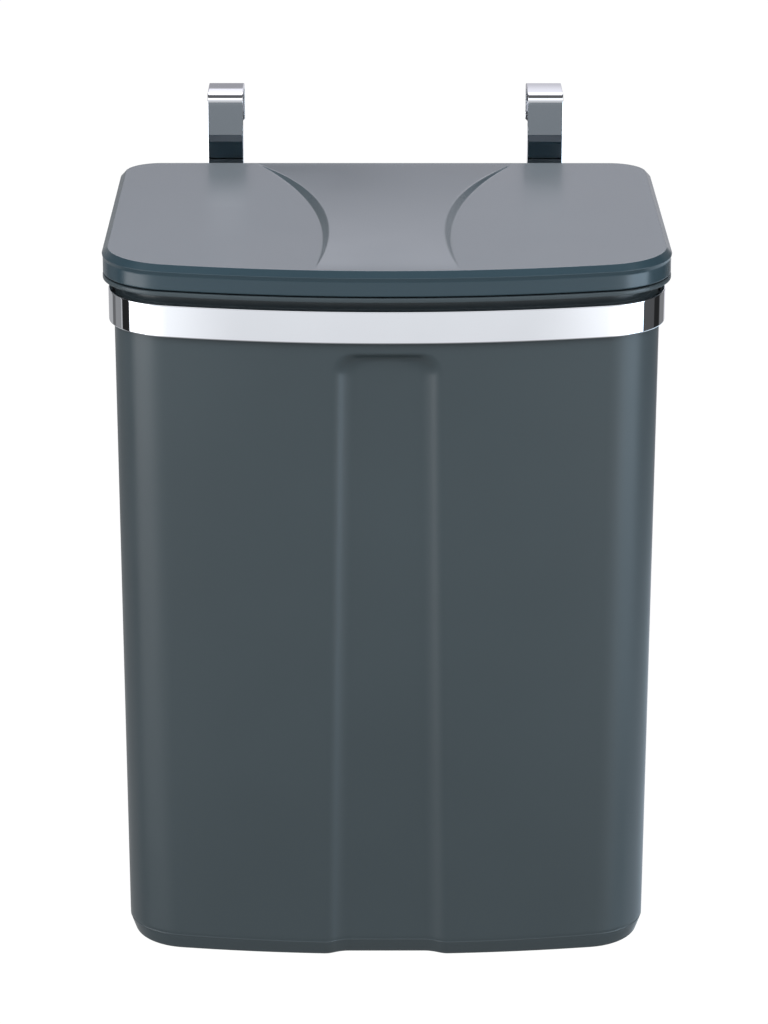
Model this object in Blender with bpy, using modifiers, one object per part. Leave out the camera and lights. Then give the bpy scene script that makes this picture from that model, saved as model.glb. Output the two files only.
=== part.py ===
"""Cabinet door trash can: a lidded plastic bin in a chromed band that hangs on two over-door hooks.

Metres, +Z up, +X to the right when seen from the front, and the front faces -Y.
The origin is midway between the hooks, under their top plates and half way through the door gap.
"""

import math

import bmesh
import bpy
from mathutils import Matrix, Vector

# Lid: its skirt line is the plan outline that every other plan outline is offset from
LID_WIDTH = 0.220
LID_DEPTH = 0.1747
BOW_RADIUS = 0.397
FRONT_CORNER = 0.031
REAR_CORNER = 0.0165
LEAST_CORNER = 0.0008
LID_SKIRT = 0.0097
LID_BEVEL_RUN = 0.0022
LID_BEVEL_DROP = 0.00285
LID_WALL = 0.0020

# Raised centre of the lid, an hourglass between two round steps
CROWN_HEIGHT = 0.0020
CROWN_FRONT_SETBACK = 0.0082
CROWN_REAR_SETBACK = 0.0045
CROWN_SINK = 0.00005
WAIST_HALF = 0.0248
WAIST_RADIUS = 0.296
WAIST_SETBACK = 0.0438
STEP_RUN = 0.0031

# Locating rim and stop ribs under the lid
LOCATOR_WALL = 0.0016
LOCATOR_REACH = 0.0040
LOCATOR_CLEARANCE = 0.0010
STOP_RIB_THICK = 0.0016
STOP_RIB_LIFT = 0.0005
STOP_RIB_SPREAD = 0.045

# Bin
LID_GAP = 0.0006
RIM_INSET = 0.0002
RIM_OVERHANG = 0.0041
RIM_THICK = 0.00175
RIM_EDGE = 0.0005
BIN_HEIGHT = 0.2762
BIN_WALL = 0.0020
BIN_DRAFT = 0.0014
BASE_CHAMFER_RISE = 0.0064
BASE_CHAMFER_RUN = 0.0025
BASE_RING = 0.008
BASE_RECESS = 0.0015

# The front is flatter at the base than at the rim, as far as lets the bin rise through its band
CREASE_BOW_RADIUS = 0.462
BASE_BOW_RADIUS = 0.545

# Neck: the groove between the rim and the shoulder that the band goes round
NECK_DEPTH = 0.0030
NECK_RISE = 0.0008
SHOULDER_DROP = 0.0015

# Channel down the front of the bin
CHANNEL_DEPTH = 0.0035
CHANNEL_TOP_DROP = 0.0234
CHANNEL_HALF_TOP = 0.0146
CHANNEL_HALF_BASE = 0.0180
CHANNEL_SIDE_RUN = 0.0059
CHANNEL_TOP_RUN = 0.0018
CHANNEL_CORNER = 0.008

# Ribs under the rim, which stand on the band and the stay
RIM_RIB_THICK = 0.0015
RIM_RIB_PITCH = 0.040
RIM_RIBS_A_SIDE = 3

# Hinge at the back
HINGE_SPACING = 0.080
HINGE_SETBACK = 0.0045
HINGE_DROP = 0.0060
KNUCKLE_RADIUS = 0.0036
KNUCKLE_WIDTH = 0.0114
KNUCKLE_WEB = 0.0050
EAR_THICK = 0.0025
TAB_MARGIN = 0.0020
TAB_THICK = 0.0020
TAB_STEP = 0.0003
PIN_DIAMETER = 0.0030
PIN_PROUD = 0.0008
PIN_HEAD_DIAMETER = 0.0054
PIN_HEAD = 0.0010

# Soft buffers in the rim, under the front stop ribs
BUFFER_DIAMETER = 0.0030
BUFFER_POCKET = 0.0010

# Carrier band and the stay across it
BAND_HEIGHT = 0.0127
BAND_DROP = 0.00405
BAND_CLEARANCE = 0.0004
BAND_REAR_CORNER = 0.008
STRIP_THICK = 0.0016
STRIP_EDGE = 0.0003
STAY_END = 0.014
STAY_BEND = 0.0030

# Door hooks
HOOK_SPACING = 0.1356
STRAP_WIDTH = 0.015
STRAP_TO_LID = 0.023
HOOK_RISE = 0.0235
HOOK_BEND = 0.0036
HOOK_LEG = 0.0186
HOOK_CORNER = 0.0025
DOOR_GAP = 0.022

# Rivets
RIVET_DIAMETER = 0.0030
RIVET_HEAD_DIAMETER = 0.0054
RIVET_HEAD = 0.0010
RIVET_SPREAD = 0.0076

# Door pads
PAD_WIDTH = 0.013
PAD_HEIGHT = 0.022
PAD_THICK = 0.0015
PAD_CORNER = 0.0020

# Gap between pieces that touch, and how far cutters and joined shapes run past a face
SEAT = 0.0003
OVERRUN = 0.0010

# Counts of steps in the curves
BOW_STEPS = 18
FRONT_CORNER_STEPS = 14
REAR_CORNER_STEPS = 8
BEND_STEPS = 6
TURN_STEPS = 20
CONE_STEPS = 360
CROWN_STEPS = 40
RIVET_DOME_STEPS = 4
PAD_CORNER_STEPS = 4

# Angles in degrees above which an edge is drawn sharp, or is softened
SHARP_ANGLE = 35
SOFTENED_ANGLE = 60

# Distance within which the points of a turned shape are joined
TURN_MERGE = 0.00001

# Heights, from the top down
LID_TOP = STRIP_THICK - HOOK_RISE
LID_FOOT = LID_TOP - LID_SKIRT
RIM_TOP = LID_FOOT - LID_GAP
RIM_UNDER = RIM_TOP - RIM_THICK
BAND_TOP = RIM_UNDER - BAND_DROP
BAND_MIDDLE = BAND_TOP - BAND_HEIGHT / 2
BAND_FOOT = BAND_TOP - BAND_HEIGHT
SHOULDER = BAND_TOP - SHOULDER_DROP
BASE = RIM_TOP - BIN_HEIGHT
CHAMFER_TOP = BASE + BASE_CHAMFER_RISE

# Places along Y, from the door forwards
STRAP_REAR = -DOOR_GAP / 2
STRAP_FRONT = STRAP_REAR - STRIP_THICK
LID_REAR = STRAP_FRONT - STRAP_TO_LID
LID_FRONT = LID_REAR - LID_DEPTH
HINGE = Vector((0, LID_REAR + HINGE_SETBACK, LID_TOP - HINGE_DROP))

# Insets from the lid's skirt line
WALL_INSET = RIM_INSET + RIM_OVERHANG
NECK_INSET = WALL_INSET + NECK_DEPTH
MOUTH_INSET = NECK_INSET + BIN_WALL
LOCATOR_INSET = MOUTH_INSET + LOCATOR_CLEARANCE
STRIP_INSET = WALL_INSET - BAND_CLEARANCE - STRIP_THICK
BIN_MIDDLE = (LID_FRONT + LID_REAR) / 2
BAND_REAR = STRAP_FRONT - SEAT


def srgb(red, green, blue):
    """A colour seen on a screen, as the linear values that a shader takes."""
    return tuple(((value + 0.055) / 1.055) ** 2.4 for value in (red, green, blue)) + (1.0,)


def material(name, colour, roughness, metallic=0.0):
    made = bpy.data.materials.new(name)
    made.use_nodes = True
    shader = made.node_tree.nodes["Principled BSDF"]
    shader.inputs["Base Color"].default_value = colour
    shader.inputs["Roughness"].default_value = roughness
    shader.inputs["Metallic"].default_value = metallic
    made.diffuse_color = colour
    return made


def arc(centre, radius, start, end, steps):
    """Points from one angle to another, in degrees, both ends included."""
    for step in range(steps + 1):
        angle = math.radians(start + (end - start) * step / steps)
        yield centre[0] + radius * math.cos(angle), centre[1] + radius * math.sin(angle)


def plan(half_width, front, rear, bow, front_corner, rear_corner):
    """A plan outline: bowed front, round corners, straight sides and straight back, anticlockwise."""
    inner_bow = bow - front_corner
    half_front = half_width - front_corner
    corner_y = front + bow - math.sqrt(inner_bow**2 - half_front**2)
    bow_angle = math.degrees(math.asin(half_front / inner_bow))
    turn_in = -90 + bow_angle
    half_rear = half_width - rear_corner
    rear_y = rear - rear_corner
    points = list(arc((0, front + bow), bow, -90 - bow_angle, turn_in, BOW_STEPS))
    points += list(arc((half_front, corner_y), front_corner, turn_in, 0, FRONT_CORNER_STEPS))[1:]
    points += arc((half_rear, rear_y), rear_corner, 0, 90, REAR_CORNER_STEPS)
    points += arc((-half_rear, rear_y), rear_corner, 90, 180, REAR_CORNER_STEPS)
    points += list(arc((-half_front, corner_y), front_corner, 180, 180 - turn_in, FRONT_CORNER_STEPS))[:-1]
    return points


def offset_plan(inset, height, bow=BOW_RADIUS):
    """The lid's skirt line moved in by a distance, at a height, or the same with a flatter bow."""
    outline = plan(
        LID_WIDTH / 2 - inset,
        LID_FRONT + inset,
        LID_REAR - inset,
        bow - inset,
        max(FRONT_CORNER - inset, LEAST_CORNER),
        max(REAR_CORNER - inset, LEAST_CORNER),
    )
    return [(x, y, height) for x, y in outline]


def front_line(x, inset):
    """Where the bowed front lies along Y, at a place across it."""
    bow = BOW_RADIUS - inset
    return LID_FRONT + inset + bow - math.sqrt(bow**2 - x**2)


def wall_inset(height):
    """How far the bin's wall lies inside the lid's skirt line at a height, with its draft."""
    return WALL_INSET + BIN_DRAFT * (RIM_UNDER - height) / (RIM_UNDER - BASE)


def new_collection(name, in_render=True):
    made = bpy.data.collections.new(name)
    made.hide_render = not in_render
    bpy.context.scene.collection.children.link(made)
    return made


def to_object(name, shape, collection, look=None, origin=(0, 0, 0)):
    """Turns a bmesh in world coordinates into an object whose origin is at a given point."""
    bmesh.ops.recalc_face_normals(shape, faces=shape.faces)
    mesh = bpy.data.meshes.new(name)
    shape.to_mesh(mesh)
    shape.free()
    mesh.transform(Matrix.Translation(-Vector(origin)))
    made = bpy.data.objects.new(name, mesh)
    made.location = origin
    collection.objects.link(made)
    if look:
        mesh.materials.append(look)
        mesh.shade_smooth()
        mesh.set_sharp_from_angle(angle=math.radians(SHARP_ANGLE))
    return made


def cutter(name, shape):
    made = to_object(name, shape, cutters)
    made.hide_render = True
    made.display_type = "WIRE"
    return made


def boolean(target, operation, other):
    change = target.modifiers.new(other.name, "BOOLEAN")
    change.operation = operation
    change.object = other


def bridge(shape, loops, closed=False):
    """Faces between loops of as many points, each loop being a closed ring."""
    rings = [[shape.verts.new(point) for point in loop] for loop in loops]
    following = rings[1:] + rings[:1] if closed else rings[1:]
    for lower, upper in zip(rings, following):
        for index, vertex in enumerate(lower):
            shape.faces.new((lower[index - 1], vertex, upper[index], upper[index - 1]))
    return rings


def loft(loops, shape=None):
    """A closed solid through several outlines, in a shape of its own or added to one."""
    shape = shape or bmesh.new()
    rings = bridge(shape, loops)
    shape.faces.new(rings[0])
    shape.faces.new(rings[-1])
    return shape


def prism(points, run, shape=None):
    """A flat outline swept along a straight run."""
    return loft([points, [Vector(point) + Vector(run) for point in points]], shape)


def add_box(shape, low, high):
    middle = (Vector(low) + Vector(high)) / 2
    size = Vector(high) - Vector(low)
    place = Matrix.Translation(middle) @ Matrix.Diagonal((*size, 1))
    bmesh.ops.create_cube(shape, size=1, matrix=place)


def add_rod(shape, middle, axis, radius, length):
    turn = Vector((0, 0, 1)).rotation_difference(Vector(axis)).to_matrix().to_4x4()
    bmesh.ops.create_cone(
        shape,
        cap_ends=True,
        segments=TURN_STEPS,
        radius1=radius,
        radius2=radius,
        depth=length,
        matrix=Matrix.Translation(middle) @ turn,
    )


def bent(corners, radius):
    """A path through corner points whose inner corners are rounded to a radius."""
    path = [Vector(corners[0])]
    for before, corner, after in zip(corners, corners[1:], corners[2:]):
        corner = Vector(corner)
        back = (Vector(before) - corner).normalized()
        on = (Vector(after) - corner).normalized()
        reach = radius / math.tan(back.angle(on) / 2)
        centre = corner + (back + on).normalized() * radius / math.sin(back.angle(on) / 2)
        first = corner + back * reach - centre
        last = corner + on * reach - centre
        for step in range(BEND_STEPS + 1):
            path.append(centre + first.slerp(last, step / BEND_STEPS).normalized() * radius)
    path.append(Vector(corners[-1]))
    return path


def strip(path, run, closed=False):
    """An open sheet: a path swept along a straight run."""
    shape = bmesh.new()
    points = [shape.verts.new(point) for point in path]
    edges = [shape.edges.new(pair) for pair in zip(points, points[1:])]
    if closed:
        edges.append(shape.edges.new((points[-1], points[0])))
    swept = bmesh.ops.extrude_edge_only(shape, edges=edges)["geom"]
    moved = [part for part in swept if isinstance(part, bmesh.types.BMVert)]
    bmesh.ops.translate(shape, verts=moved, vec=run)
    return shape


def thicken(target, thickness):
    """Gives an open sheet its thickness, half on each side."""
    change = target.modifiers.new("thickness", "SOLIDIFY")
    change.thickness = thickness
    change.offset = 0
    change.use_even_offset = True


def soften(target, width):
    change = target.modifiers.new("edges", "BEVEL")
    change.width = width
    change.segments = 1
    change.limit_method = "ANGLE"
    change.angle_limit = math.radians(SOFTENED_ANGLE)


def turned(name, profile, place, axis, look, collection):
    """A profile of (radius, height) pairs, top to bottom, turned about an axis."""
    shape = bmesh.new()
    points = [shape.verts.new((radius, 0, height)) for radius, height in profile]
    for pair in zip(points, points[1:]):
        shape.edges.new(pair)
    mesh = bpy.data.meshes.new(name)
    shape.to_mesh(mesh)
    shape.free()
    mesh.materials.append(look)
    made = bpy.data.objects.new(name, mesh)
    made.location = place
    made.rotation_euler = Vector((0, 0, 1)).rotation_difference(Vector(axis)).to_euler()
    collection.objects.link(made)
    screw = made.modifiers.new("turning", "SCREW")
    screw.steps = TURN_STEPS
    screw.render_steps = TURN_STEPS
    screw.use_merge_vertices = True
    screw.merge_threshold = TURN_MERGE
    screw.use_smooth_shade = True
    return made


def ride(made, carrier):
    """Parents an object and leaves it where it is."""
    made.location = Vector(made.location) - world_place[carrier.name]
    made.parent = carrier


def empty(name, place, carrier=None):
    made = bpy.data.objects.new(name, None)
    made.location = place
    parts.objects.link(made)
    world_place[name] = Vector(place)
    if carrier:
        ride(made, carrier)
    return made


def channel_block(name, growth):
    """The front channel as a closed block, grown on its walls and floor by a distance."""
    side_slope = CHANNEL_SIDE_RUN / CHANNEL_DEPTH
    top_slope = CHANNEL_TOP_RUN / CHANNEL_DEPTH
    side_mitre = growth * math.tan(math.atan2(CHANNEL_DEPTH, CHANNEL_SIDE_RUN) / 2)
    top_mitre = growth * math.tan(math.atan2(CHANNEL_DEPTH, CHANNEL_TOP_RUN) / 2)
    floor_top = RIM_TOP - CHANNEL_TOP_DROP - CHANNEL_TOP_RUN
    spread = (CHANNEL_HALF_BASE - CHANNEL_HALF_TOP) / (floor_top - BASE)
    chamfer_slope = BASE_CHAMFER_RUN / BASE_CHAMFER_RISE
    foot = BASE - OVERRUN

    def level(rise):
        """The outline at a distance in front of the channel's floor."""
        top = floor_top + top_mitre + rise * top_slope
        corner_z = top - CHANNEL_CORNER
        half_top = CHANNEL_HALF_TOP + side_mitre + rise * side_slope
        half_foot = half_top + spread * (floor_top - foot)
        half_chamfer = half_top + spread * (floor_top - CHAMFER_TOP)
        half_corner = half_top + spread * (floor_top - corner_z)
        right = [(half_foot, foot), (half_chamfer, CHAMFER_TOP)]
        right += arc((half_corner - CHANNEL_CORNER, corner_z), CHANNEL_CORNER, 0, 90, REAR_CORNER_STEPS)
        outline = right + [(-x, z) for x, z in reversed(right)]
        points = []
        for x, z in outline:
            lean = max(CHAMFER_TOP - z, 0) * chamfer_slope
            points.append((x, LID_FRONT + wall_inset(z) + CHANNEL_DEPTH + growth - rise + lean, z))
        return points

    shape = bmesh.new()
    deep, shallow = bridge(shape, [level(0), level(CHANNEL_DEPTH + growth + OVERRUN)])
    for ring in (deep, shallow):
        shape.faces.new((ring[0], ring[1], ring[-2], ring[-1]))
        shape.faces.new(ring[1:-1])
    return cutter(name, shape)


def make_bin():
    """Bucket with rim, neck, front channel, ribs under the rim, hinge ears and a recessed base."""
    base_inset = wall_inset(BASE) + BASE_CHAMFER_RUN
    outer = [
        (base_inset, BASE, BASE_BOW_RADIUS),
        (wall_inset(CHAMFER_TOP), CHAMFER_TOP, CREASE_BOW_RADIUS),
        (wall_inset(SHOULDER), SHOULDER),
        (NECK_INSET, SHOULDER + NECK_RISE),
        (NECK_INSET, RIM_UNDER),
        (RIM_INSET + RIM_EDGE, RIM_UNDER),
        (RIM_INSET, RIM_UNDER + RIM_EDGE),
        (RIM_INSET, RIM_TOP - RIM_EDGE),
        (RIM_INSET + RIM_EDGE, RIM_TOP),
    ]
    bucket = loft([offset_plan(*step) for step in outer])
    bucket = to_object("bin_body", bucket, parts, bin_plastic, bin_origin)

    floor = BASE + BASE_RECESS + BIN_WALL
    lean = (CHAMFER_TOP - floor) * BASE_CHAMFER_RUN / BASE_CHAMFER_RISE
    inner_shoulder = SHOULDER - BIN_WALL
    inner = [
        (wall_inset(floor) + BIN_WALL + lean, floor, CREASE_BOW_RADIUS),
        (wall_inset(CHAMFER_TOP) + BIN_WALL, CHAMFER_TOP, CREASE_BOW_RADIUS),
        (wall_inset(inner_shoulder) + BIN_WALL, inner_shoulder),
        (MOUTH_INSET, inner_shoulder + NECK_RISE),
        (MOUTH_INSET, RIM_TOP + OVERRUN),
    ]
    cavity = cutter("cavity", loft([offset_plan(*step) for step in inner]))
    boolean(cavity, "DIFFERENCE", channel_block("channel_inside", BIN_WALL))
    recess = [
        (base_inset + BASE_RING, BASE - OVERRUN, BASE_BOW_RADIUS),
        (base_inset + BASE_RING + BASE_RECESS, BASE + BASE_RECESS, BASE_BOW_RADIUS),
    ]
    boolean(bucket, "DIFFERENCE", channel_block("channel", 0))
    boolean(bucket, "DIFFERENCE", cavity)
    boolean(bucket, "DIFFERENCE", cutter("base_recess", loft([offset_plan(*step) for step in recess])))
    boolean(bucket, "UNION", rim_ribs())
    for operation, piece in hinge_stand():
        boolean(bucket, operation, piece)
    pockets = bmesh.new()
    for place in buffer_places():
        depth = BUFFER_POCKET + OVERRUN
        middle = (place[0], place[1], RIM_TOP + OVERRUN - depth / 2)
        add_rod(pockets, middle, (0, 0, 1), BUFFER_DIAMETER / 2 + SEAT, depth)
    boolean(bucket, "DIFFERENCE", cutter("buffer_pockets", pockets))
    return bucket


def rim_ribs():
    """Ribs between the rim and the neck, on both sides and at the back."""
    shape = bmesh.new()
    half = RIM_RIB_THICK / 2
    high = RIM_UNDER + RIM_THICK / 2
    low = BAND_TOP + SEAT
    inner = LID_WIDTH / 2 - NECK_INSET - BIN_WALL / 2
    outer = LID_WIDTH / 2 - RIM_INSET - RIM_EDGE
    for index in range(RIM_RIBS_A_SIDE):
        y = BIN_MIDDLE + RIM_RIB_PITCH * (index - (RIM_RIBS_A_SIDE - 1) / 2)
        for near, far in ((inner, outer), (-outer, -inner)):
            add_box(shape, (near, y - half, low), (far, y + half, high))
    for x in (-HINGE_SPACING / 2, HINGE_SPACING / 2):
        rear_wall = LID_REAR - NECK_INSET - BIN_WALL / 2
        add_box(shape, (x - half, rear_wall, low), (x + half, HINGE.y, high))
    return cutter("rim_ribs", shape)


def hinge_stand():
    """Tabs behind the rim, the ears on them and the pin holes."""
    half_gap = KNUCKLE_WIDTH / 2 + SEAT
    half_out = half_gap + EAR_THICK
    tab_top = RIM_TOP - TAB_STEP
    tab_foot = tab_top - TAB_THICK
    ear_foot = tab_top - TAB_THICK / 2
    profile = [(HINGE.y + KNUCKLE_RADIUS, ear_foot)]
    profile += arc((HINGE.y, HINGE.z), KNUCKLE_RADIUS, 0, 180, TURN_STEPS // 2)
    profile += [(HINGE.y - KNUCKLE_RADIUS, ear_foot)]
    tabs = bmesh.new()
    ears = bmesh.new()
    holes = bmesh.new()
    for x in (-HINGE_SPACING / 2, HINGE_SPACING / 2):
        low = (x - half_out - TAB_MARGIN, LID_REAR - NECK_INSET - BIN_WALL / 2, tab_foot)
        high = (x + half_out + TAB_MARGIN, HINGE.y + KNUCKLE_RADIUS + TAB_STEP, tab_top)
        add_box(tabs, low, high)
        for side in (x - half_out, x + half_gap):
            prism([(side, y, z) for y, z in profile], (EAR_THICK, 0, 0), ears)
        add_rod(holes, (x, HINGE.y, HINGE.z), (1, 0, 0), PIN_DIAMETER / 2 + SEAT, 2 * (half_out + OVERRUN))
    return [
        ("UNION", cutter("hinge_tabs", tabs)),
        ("UNION", cutter("hinge_ears", ears)),
        ("DIFFERENCE", cutter("ear_holes", holes)),
    ]


def buffer_places():
    """The middles of the two soft buffers, half way from the lid's skirt to the bin's mouth."""
    middle = (LID_WALL + MOUTH_INSET) / 2
    return [(x, front_line(x, middle)) for x in (-STOP_RIB_SPREAD, STOP_RIB_SPREAD)]


def make_buffers():
    pocket_floor = RIM_TOP - BUFFER_POCKET
    low = pocket_floor + SEAT
    high = LID_FOOT + STOP_RIB_LIFT - SEAT
    for side, (x, y) in zip(("left", "right"), buffer_places()):
        radius = BUFFER_DIAMETER / 2
        edge = (high - low) / 4
        profile = [(0, high), (radius - edge, high), (radius, high - edge), (radius, low), (0, low)]
        ride(turned("lid_buffer_" + side, profile, (x, y, 0), (0, 0, 1), soft_rubber, parts), bin_frame)


def make_lid():
    """Shell with a bevelled edge, raised centre, locating rim, stop ribs and two knuckles."""
    lean = math.atan2(LID_BEVEL_DROP, LID_BEVEL_RUN)
    inner_drop = LID_BEVEL_DROP + LID_WALL * math.tan((math.pi / 2 - lean) / 2)
    inner_run = LID_BEVEL_RUN + LID_WALL * math.tan(lean / 2)
    shell = [
        (LID_BEVEL_RUN, LID_TOP),
        (0, LID_TOP - LID_BEVEL_DROP),
        (0, LID_FOOT),
        (LID_WALL, LID_FOOT),
        (LID_WALL, LID_TOP - inner_drop),
        (inner_run, LID_TOP - LID_WALL),
    ]
    lid = to_object("lid", loft([offset_plan(*step) for step in shell]), parts, lid_plastic, HINGE)
    locator_foot = RIM_TOP - LOCATOR_REACH
    locator_top = LID_TOP - LID_WALL / 2
    locator = bmesh.new()
    section = [
        (LOCATOR_INSET, locator_top),
        (LOCATOR_INSET, locator_foot),
        (LOCATOR_INSET + LOCATOR_WALL, locator_foot),
        (LOCATOR_INSET + LOCATOR_WALL, locator_top),
    ]
    bridge(locator, [offset_plan(*step) for step in section], closed=True)
    boolean(lid, "UNION", cutter("locator", locator))
    boolean(lid, "UNION", stop_ribs())
    boolean(lid, "UNION", crown())
    boolean(lid, "UNION", knuckles())
    holes = bmesh.new()
    for x in (-HINGE_SPACING / 2, HINGE_SPACING / 2):
        middle = (x, HINGE.y, HINGE.z)
        add_rod(holes, middle, (1, 0, 0), PIN_DIAMETER / 2 + SEAT, KNUCKLE_WIDTH + 2 * OVERRUN)
    boolean(lid, "DIFFERENCE", cutter("knuckle_holes", holes))
    return lid


def stop_ribs():
    """Short ribs between the skirt and the locating rim. The closed lid rests on the front pair."""
    shape = bmesh.new()
    half = STOP_RIB_THICK / 2
    low = LID_FOOT + STOP_RIB_LIFT
    high = LID_TOP - LID_WALL / 2
    near = LID_WALL / 2
    far = LOCATOR_INSET + LOCATOR_WALL / 2
    for x in (-STOP_RIB_SPREAD, STOP_RIB_SPREAD):
        add_box(shape, (x - half, front_line(x, near), low), (x + half, front_line(x, far), high))
        add_box(shape, (x - half, LID_REAR - far, low), (x + half, LID_REAR - near, high))
    for index in range(RIM_RIBS_A_SIDE):
        y = BIN_MIDDLE + RIM_RIB_PITCH * (index - (RIM_RIBS_A_SIDE - 1) / 2)
        side = LID_WIDTH / 2
        add_box(shape, (near - side, y - half, low), (far - side, y + half, high))
        add_box(shape, (side - far, y - half, low), (side - near, y + half, high))
    return cutter("stop_ribs", shape)


def crown():
    """A slab with a cylindrical top, cut to an hourglass by two wide cones."""
    front = LID_FRONT + CROWN_FRONT_SETBACK
    rear = LID_REAR - CROWN_REAR_SETBACK
    half = (rear - front) / 2
    middle = (rear + front) / 2
    radius = (half**2 + CROWN_HEIGHT**2) / (2 * CROWN_HEIGHT)
    centre_z = LID_TOP + CROWN_HEIGHT - radius
    foot = LID_TOP - LID_WALL / 3
    reach = math.degrees(math.acos((LID_TOP - CROWN_SINK - centre_z) / radius))
    profile = list(arc((middle, centre_z), radius, 90 - reach, 90 + reach, CROWN_STEPS))
    profile += [(profile[-1][0], foot), (profile[0][0], foot)]
    block = prism([(-LID_WIDTH / 4, y, z) for y, z in profile], (LID_WIDTH / 2, 0, 0))
    slab = cutter("crown", block)
    cones = bmesh.new()
    slope = STEP_RUN / CROWN_HEIGHT
    low = foot - OVERRUN
    high = LID_TOP + CROWN_HEIGHT + OVERRUN
    for side in (-1, 1):
        place = (side * (WAIST_HALF + WAIST_RADIUS), LID_FRONT + WAIST_SETBACK, (low + high) / 2)
        bmesh.ops.create_cone(
            cones,
            cap_ends=True,
            segments=CONE_STEPS,
            radius1=WAIST_RADIUS + slope * (low - LID_TOP),
            radius2=WAIST_RADIUS + slope * (high - LID_TOP),
            depth=high - low,
            matrix=Matrix.Translation(place),
        )
    boolean(slab, "DIFFERENCE", cutter("crown_sides", cones))
    return slab


def knuckles():
    """Round lugs on the hinge axis, each on a web from the skirt."""
    half_web = KNUCKLE_WEB / 2
    tangent = math.degrees(math.asin(half_web / KNUCKLE_RADIUS))
    inside = LID_REAR - LID_WALL / 2
    profile = [(inside, HINGE.z - half_web)]
    profile += arc((HINGE.y, HINGE.z), KNUCKLE_RADIUS, tangent - 180, 180 - tangent, TURN_STEPS)
    profile += [(inside, HINGE.z + half_web)]
    shape = bmesh.new()
    for x in (-HINGE_SPACING / 2, HINGE_SPACING / 2):
        start = x - KNUCKLE_WIDTH / 2
        prism([(start, y, z) for y, z in profile], (KNUCKLE_WIDTH, 0, 0), shape)
    return cutter("knuckles", shape)


def make_pins():
    """A headed pin for each knuckle, put in from the outer side."""
    ear_out = KNUCKLE_WIDTH / 2 + SEAT + EAR_THICK
    head_radius = PIN_HEAD_DIAMETER / 2
    radius = PIN_DIAMETER / 2
    seat = ear_out + SEAT
    profile = [
        (0, seat + PIN_HEAD),
        (head_radius - PIN_HEAD / 2, seat + PIN_HEAD),
        (head_radius, seat + PIN_HEAD / 2),
        (head_radius, seat),
        (radius, seat),
        (radius, -ear_out - PIN_PROUD / 2),
        (radius - PIN_PROUD / 2, -ear_out - PIN_PROUD),
        (0, -ear_out - PIN_PROUD),
    ]
    for side, name in ((-1, "left"), (1, "right")):
        place = (side * HINGE_SPACING / 2, HINGE.y, HINGE.z)
        ride(turned("hinge_pin_" + name, profile, place, (side, 0, 0), steel, parts), bin_frame)


def rivet(name, place, axis, grip):
    """A round-headed rivet through two strips, with the same head on both sides."""
    dome = (RIVET_HEAD_DIAMETER**2 / 4 + RIVET_HEAD**2) / (2 * RIVET_HEAD)
    reach = math.degrees(math.asin(RIVET_HEAD_DIAMETER / 2 / dome))
    half_grip = grip / 2 + SEAT
    head = list(arc((0, half_grip + RIVET_HEAD - dome), dome, 90, 90 - reach, RIVET_DOME_STEPS))
    head[0] = (0, half_grip + RIVET_HEAD)
    head[-1] = (RIVET_HEAD_DIAMETER / 2, half_grip)
    upper = head + [(RIVET_DIAMETER / 2, half_grip)]
    profile = upper + [(radius, -height) for radius, height in reversed(upper)]
    ride(turned(name, profile, place, axis, steel, parts), carrier_frame)


def make_carrier():
    """The band, the stay and the hooks, with the rivets that join them."""
    half = STRIP_THICK / 2
    centre_inset = STRIP_INSET + half
    path = plan(
        LID_WIDTH / 2 - centre_inset,
        LID_FRONT + centre_inset,
        BAND_REAR - half,
        BOW_RADIUS - centre_inset,
        FRONT_CORNER - centre_inset,
        BAND_REAR_CORNER - half,
    )
    rise = (0, 0, BAND_HEIGHT)
    band = strip([(x, y, BAND_FOOT) for x, y in path], rise, closed=True)
    band = to_object("carrier_band", band, parts, chrome)

    side = LID_WIDTH / 2 - STRIP_INSET - STRIP_THICK - SEAT - half
    stay_y = LID_REAR - WALL_INSET + BAND_CLEARANCE + half
    end_y = stay_y + STAY_END
    corners = [(-side, end_y), (-side, stay_y), (side, stay_y), (side, end_y)]
    path = bent([(x, y, BAND_FOOT) for x, y in corners], STAY_BEND - half)
    stay = to_object("rear_stay", strip(path, rise), parts, chrome)

    grip = 2 * STRIP_THICK + SEAT
    band_side = LID_WIDTH / 2 - STRIP_INSET
    rivet_y = end_y - STAY_END / 3
    holes = bmesh.new()
    for sign, name in ((-1, "left"), (1, "right")):
        middle = (sign * (band_side - grip / 2), rivet_y, BAND_MIDDLE)
        rivet("stay_rivet_" + name, middle, (1, 0, 0), grip)
        add_rod(holes, middle, (1, 0, 0), RIVET_DIAMETER / 2 + SEAT, grip + 2 * OVERRUN)
    straps = []
    for sign, name in ((-1, "left"), (1, "right")):
        x = sign * HOOK_SPACING / 2
        straps.append(make_hook("hook_" + name, x))
        make_pad("door_pad_" + name, x)
        for shift, place in ((-sign, "inner"), (sign, "outer")):
            middle = (x + shift * RIVET_SPREAD / 2, STRAP_REAR - grip / 2, BAND_MIDDLE)
            rivet("hook_rivet_" + name + "_" + place, middle, (0, 1, 0), grip)
            add_rod(holes, middle, (0, 1, 0), RIVET_DIAMETER / 2 + SEAT, grip + 2 * OVERRUN)
    rivet_holes = cutter("rivet_holes", holes)
    for piece in [band, stay] + straps:
        thicken(piece, STRIP_THICK)
        boolean(piece, "DIFFERENCE", rivet_holes)
        soften(piece, STRIP_EDGE)
        ride(piece, carrier_frame)


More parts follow.
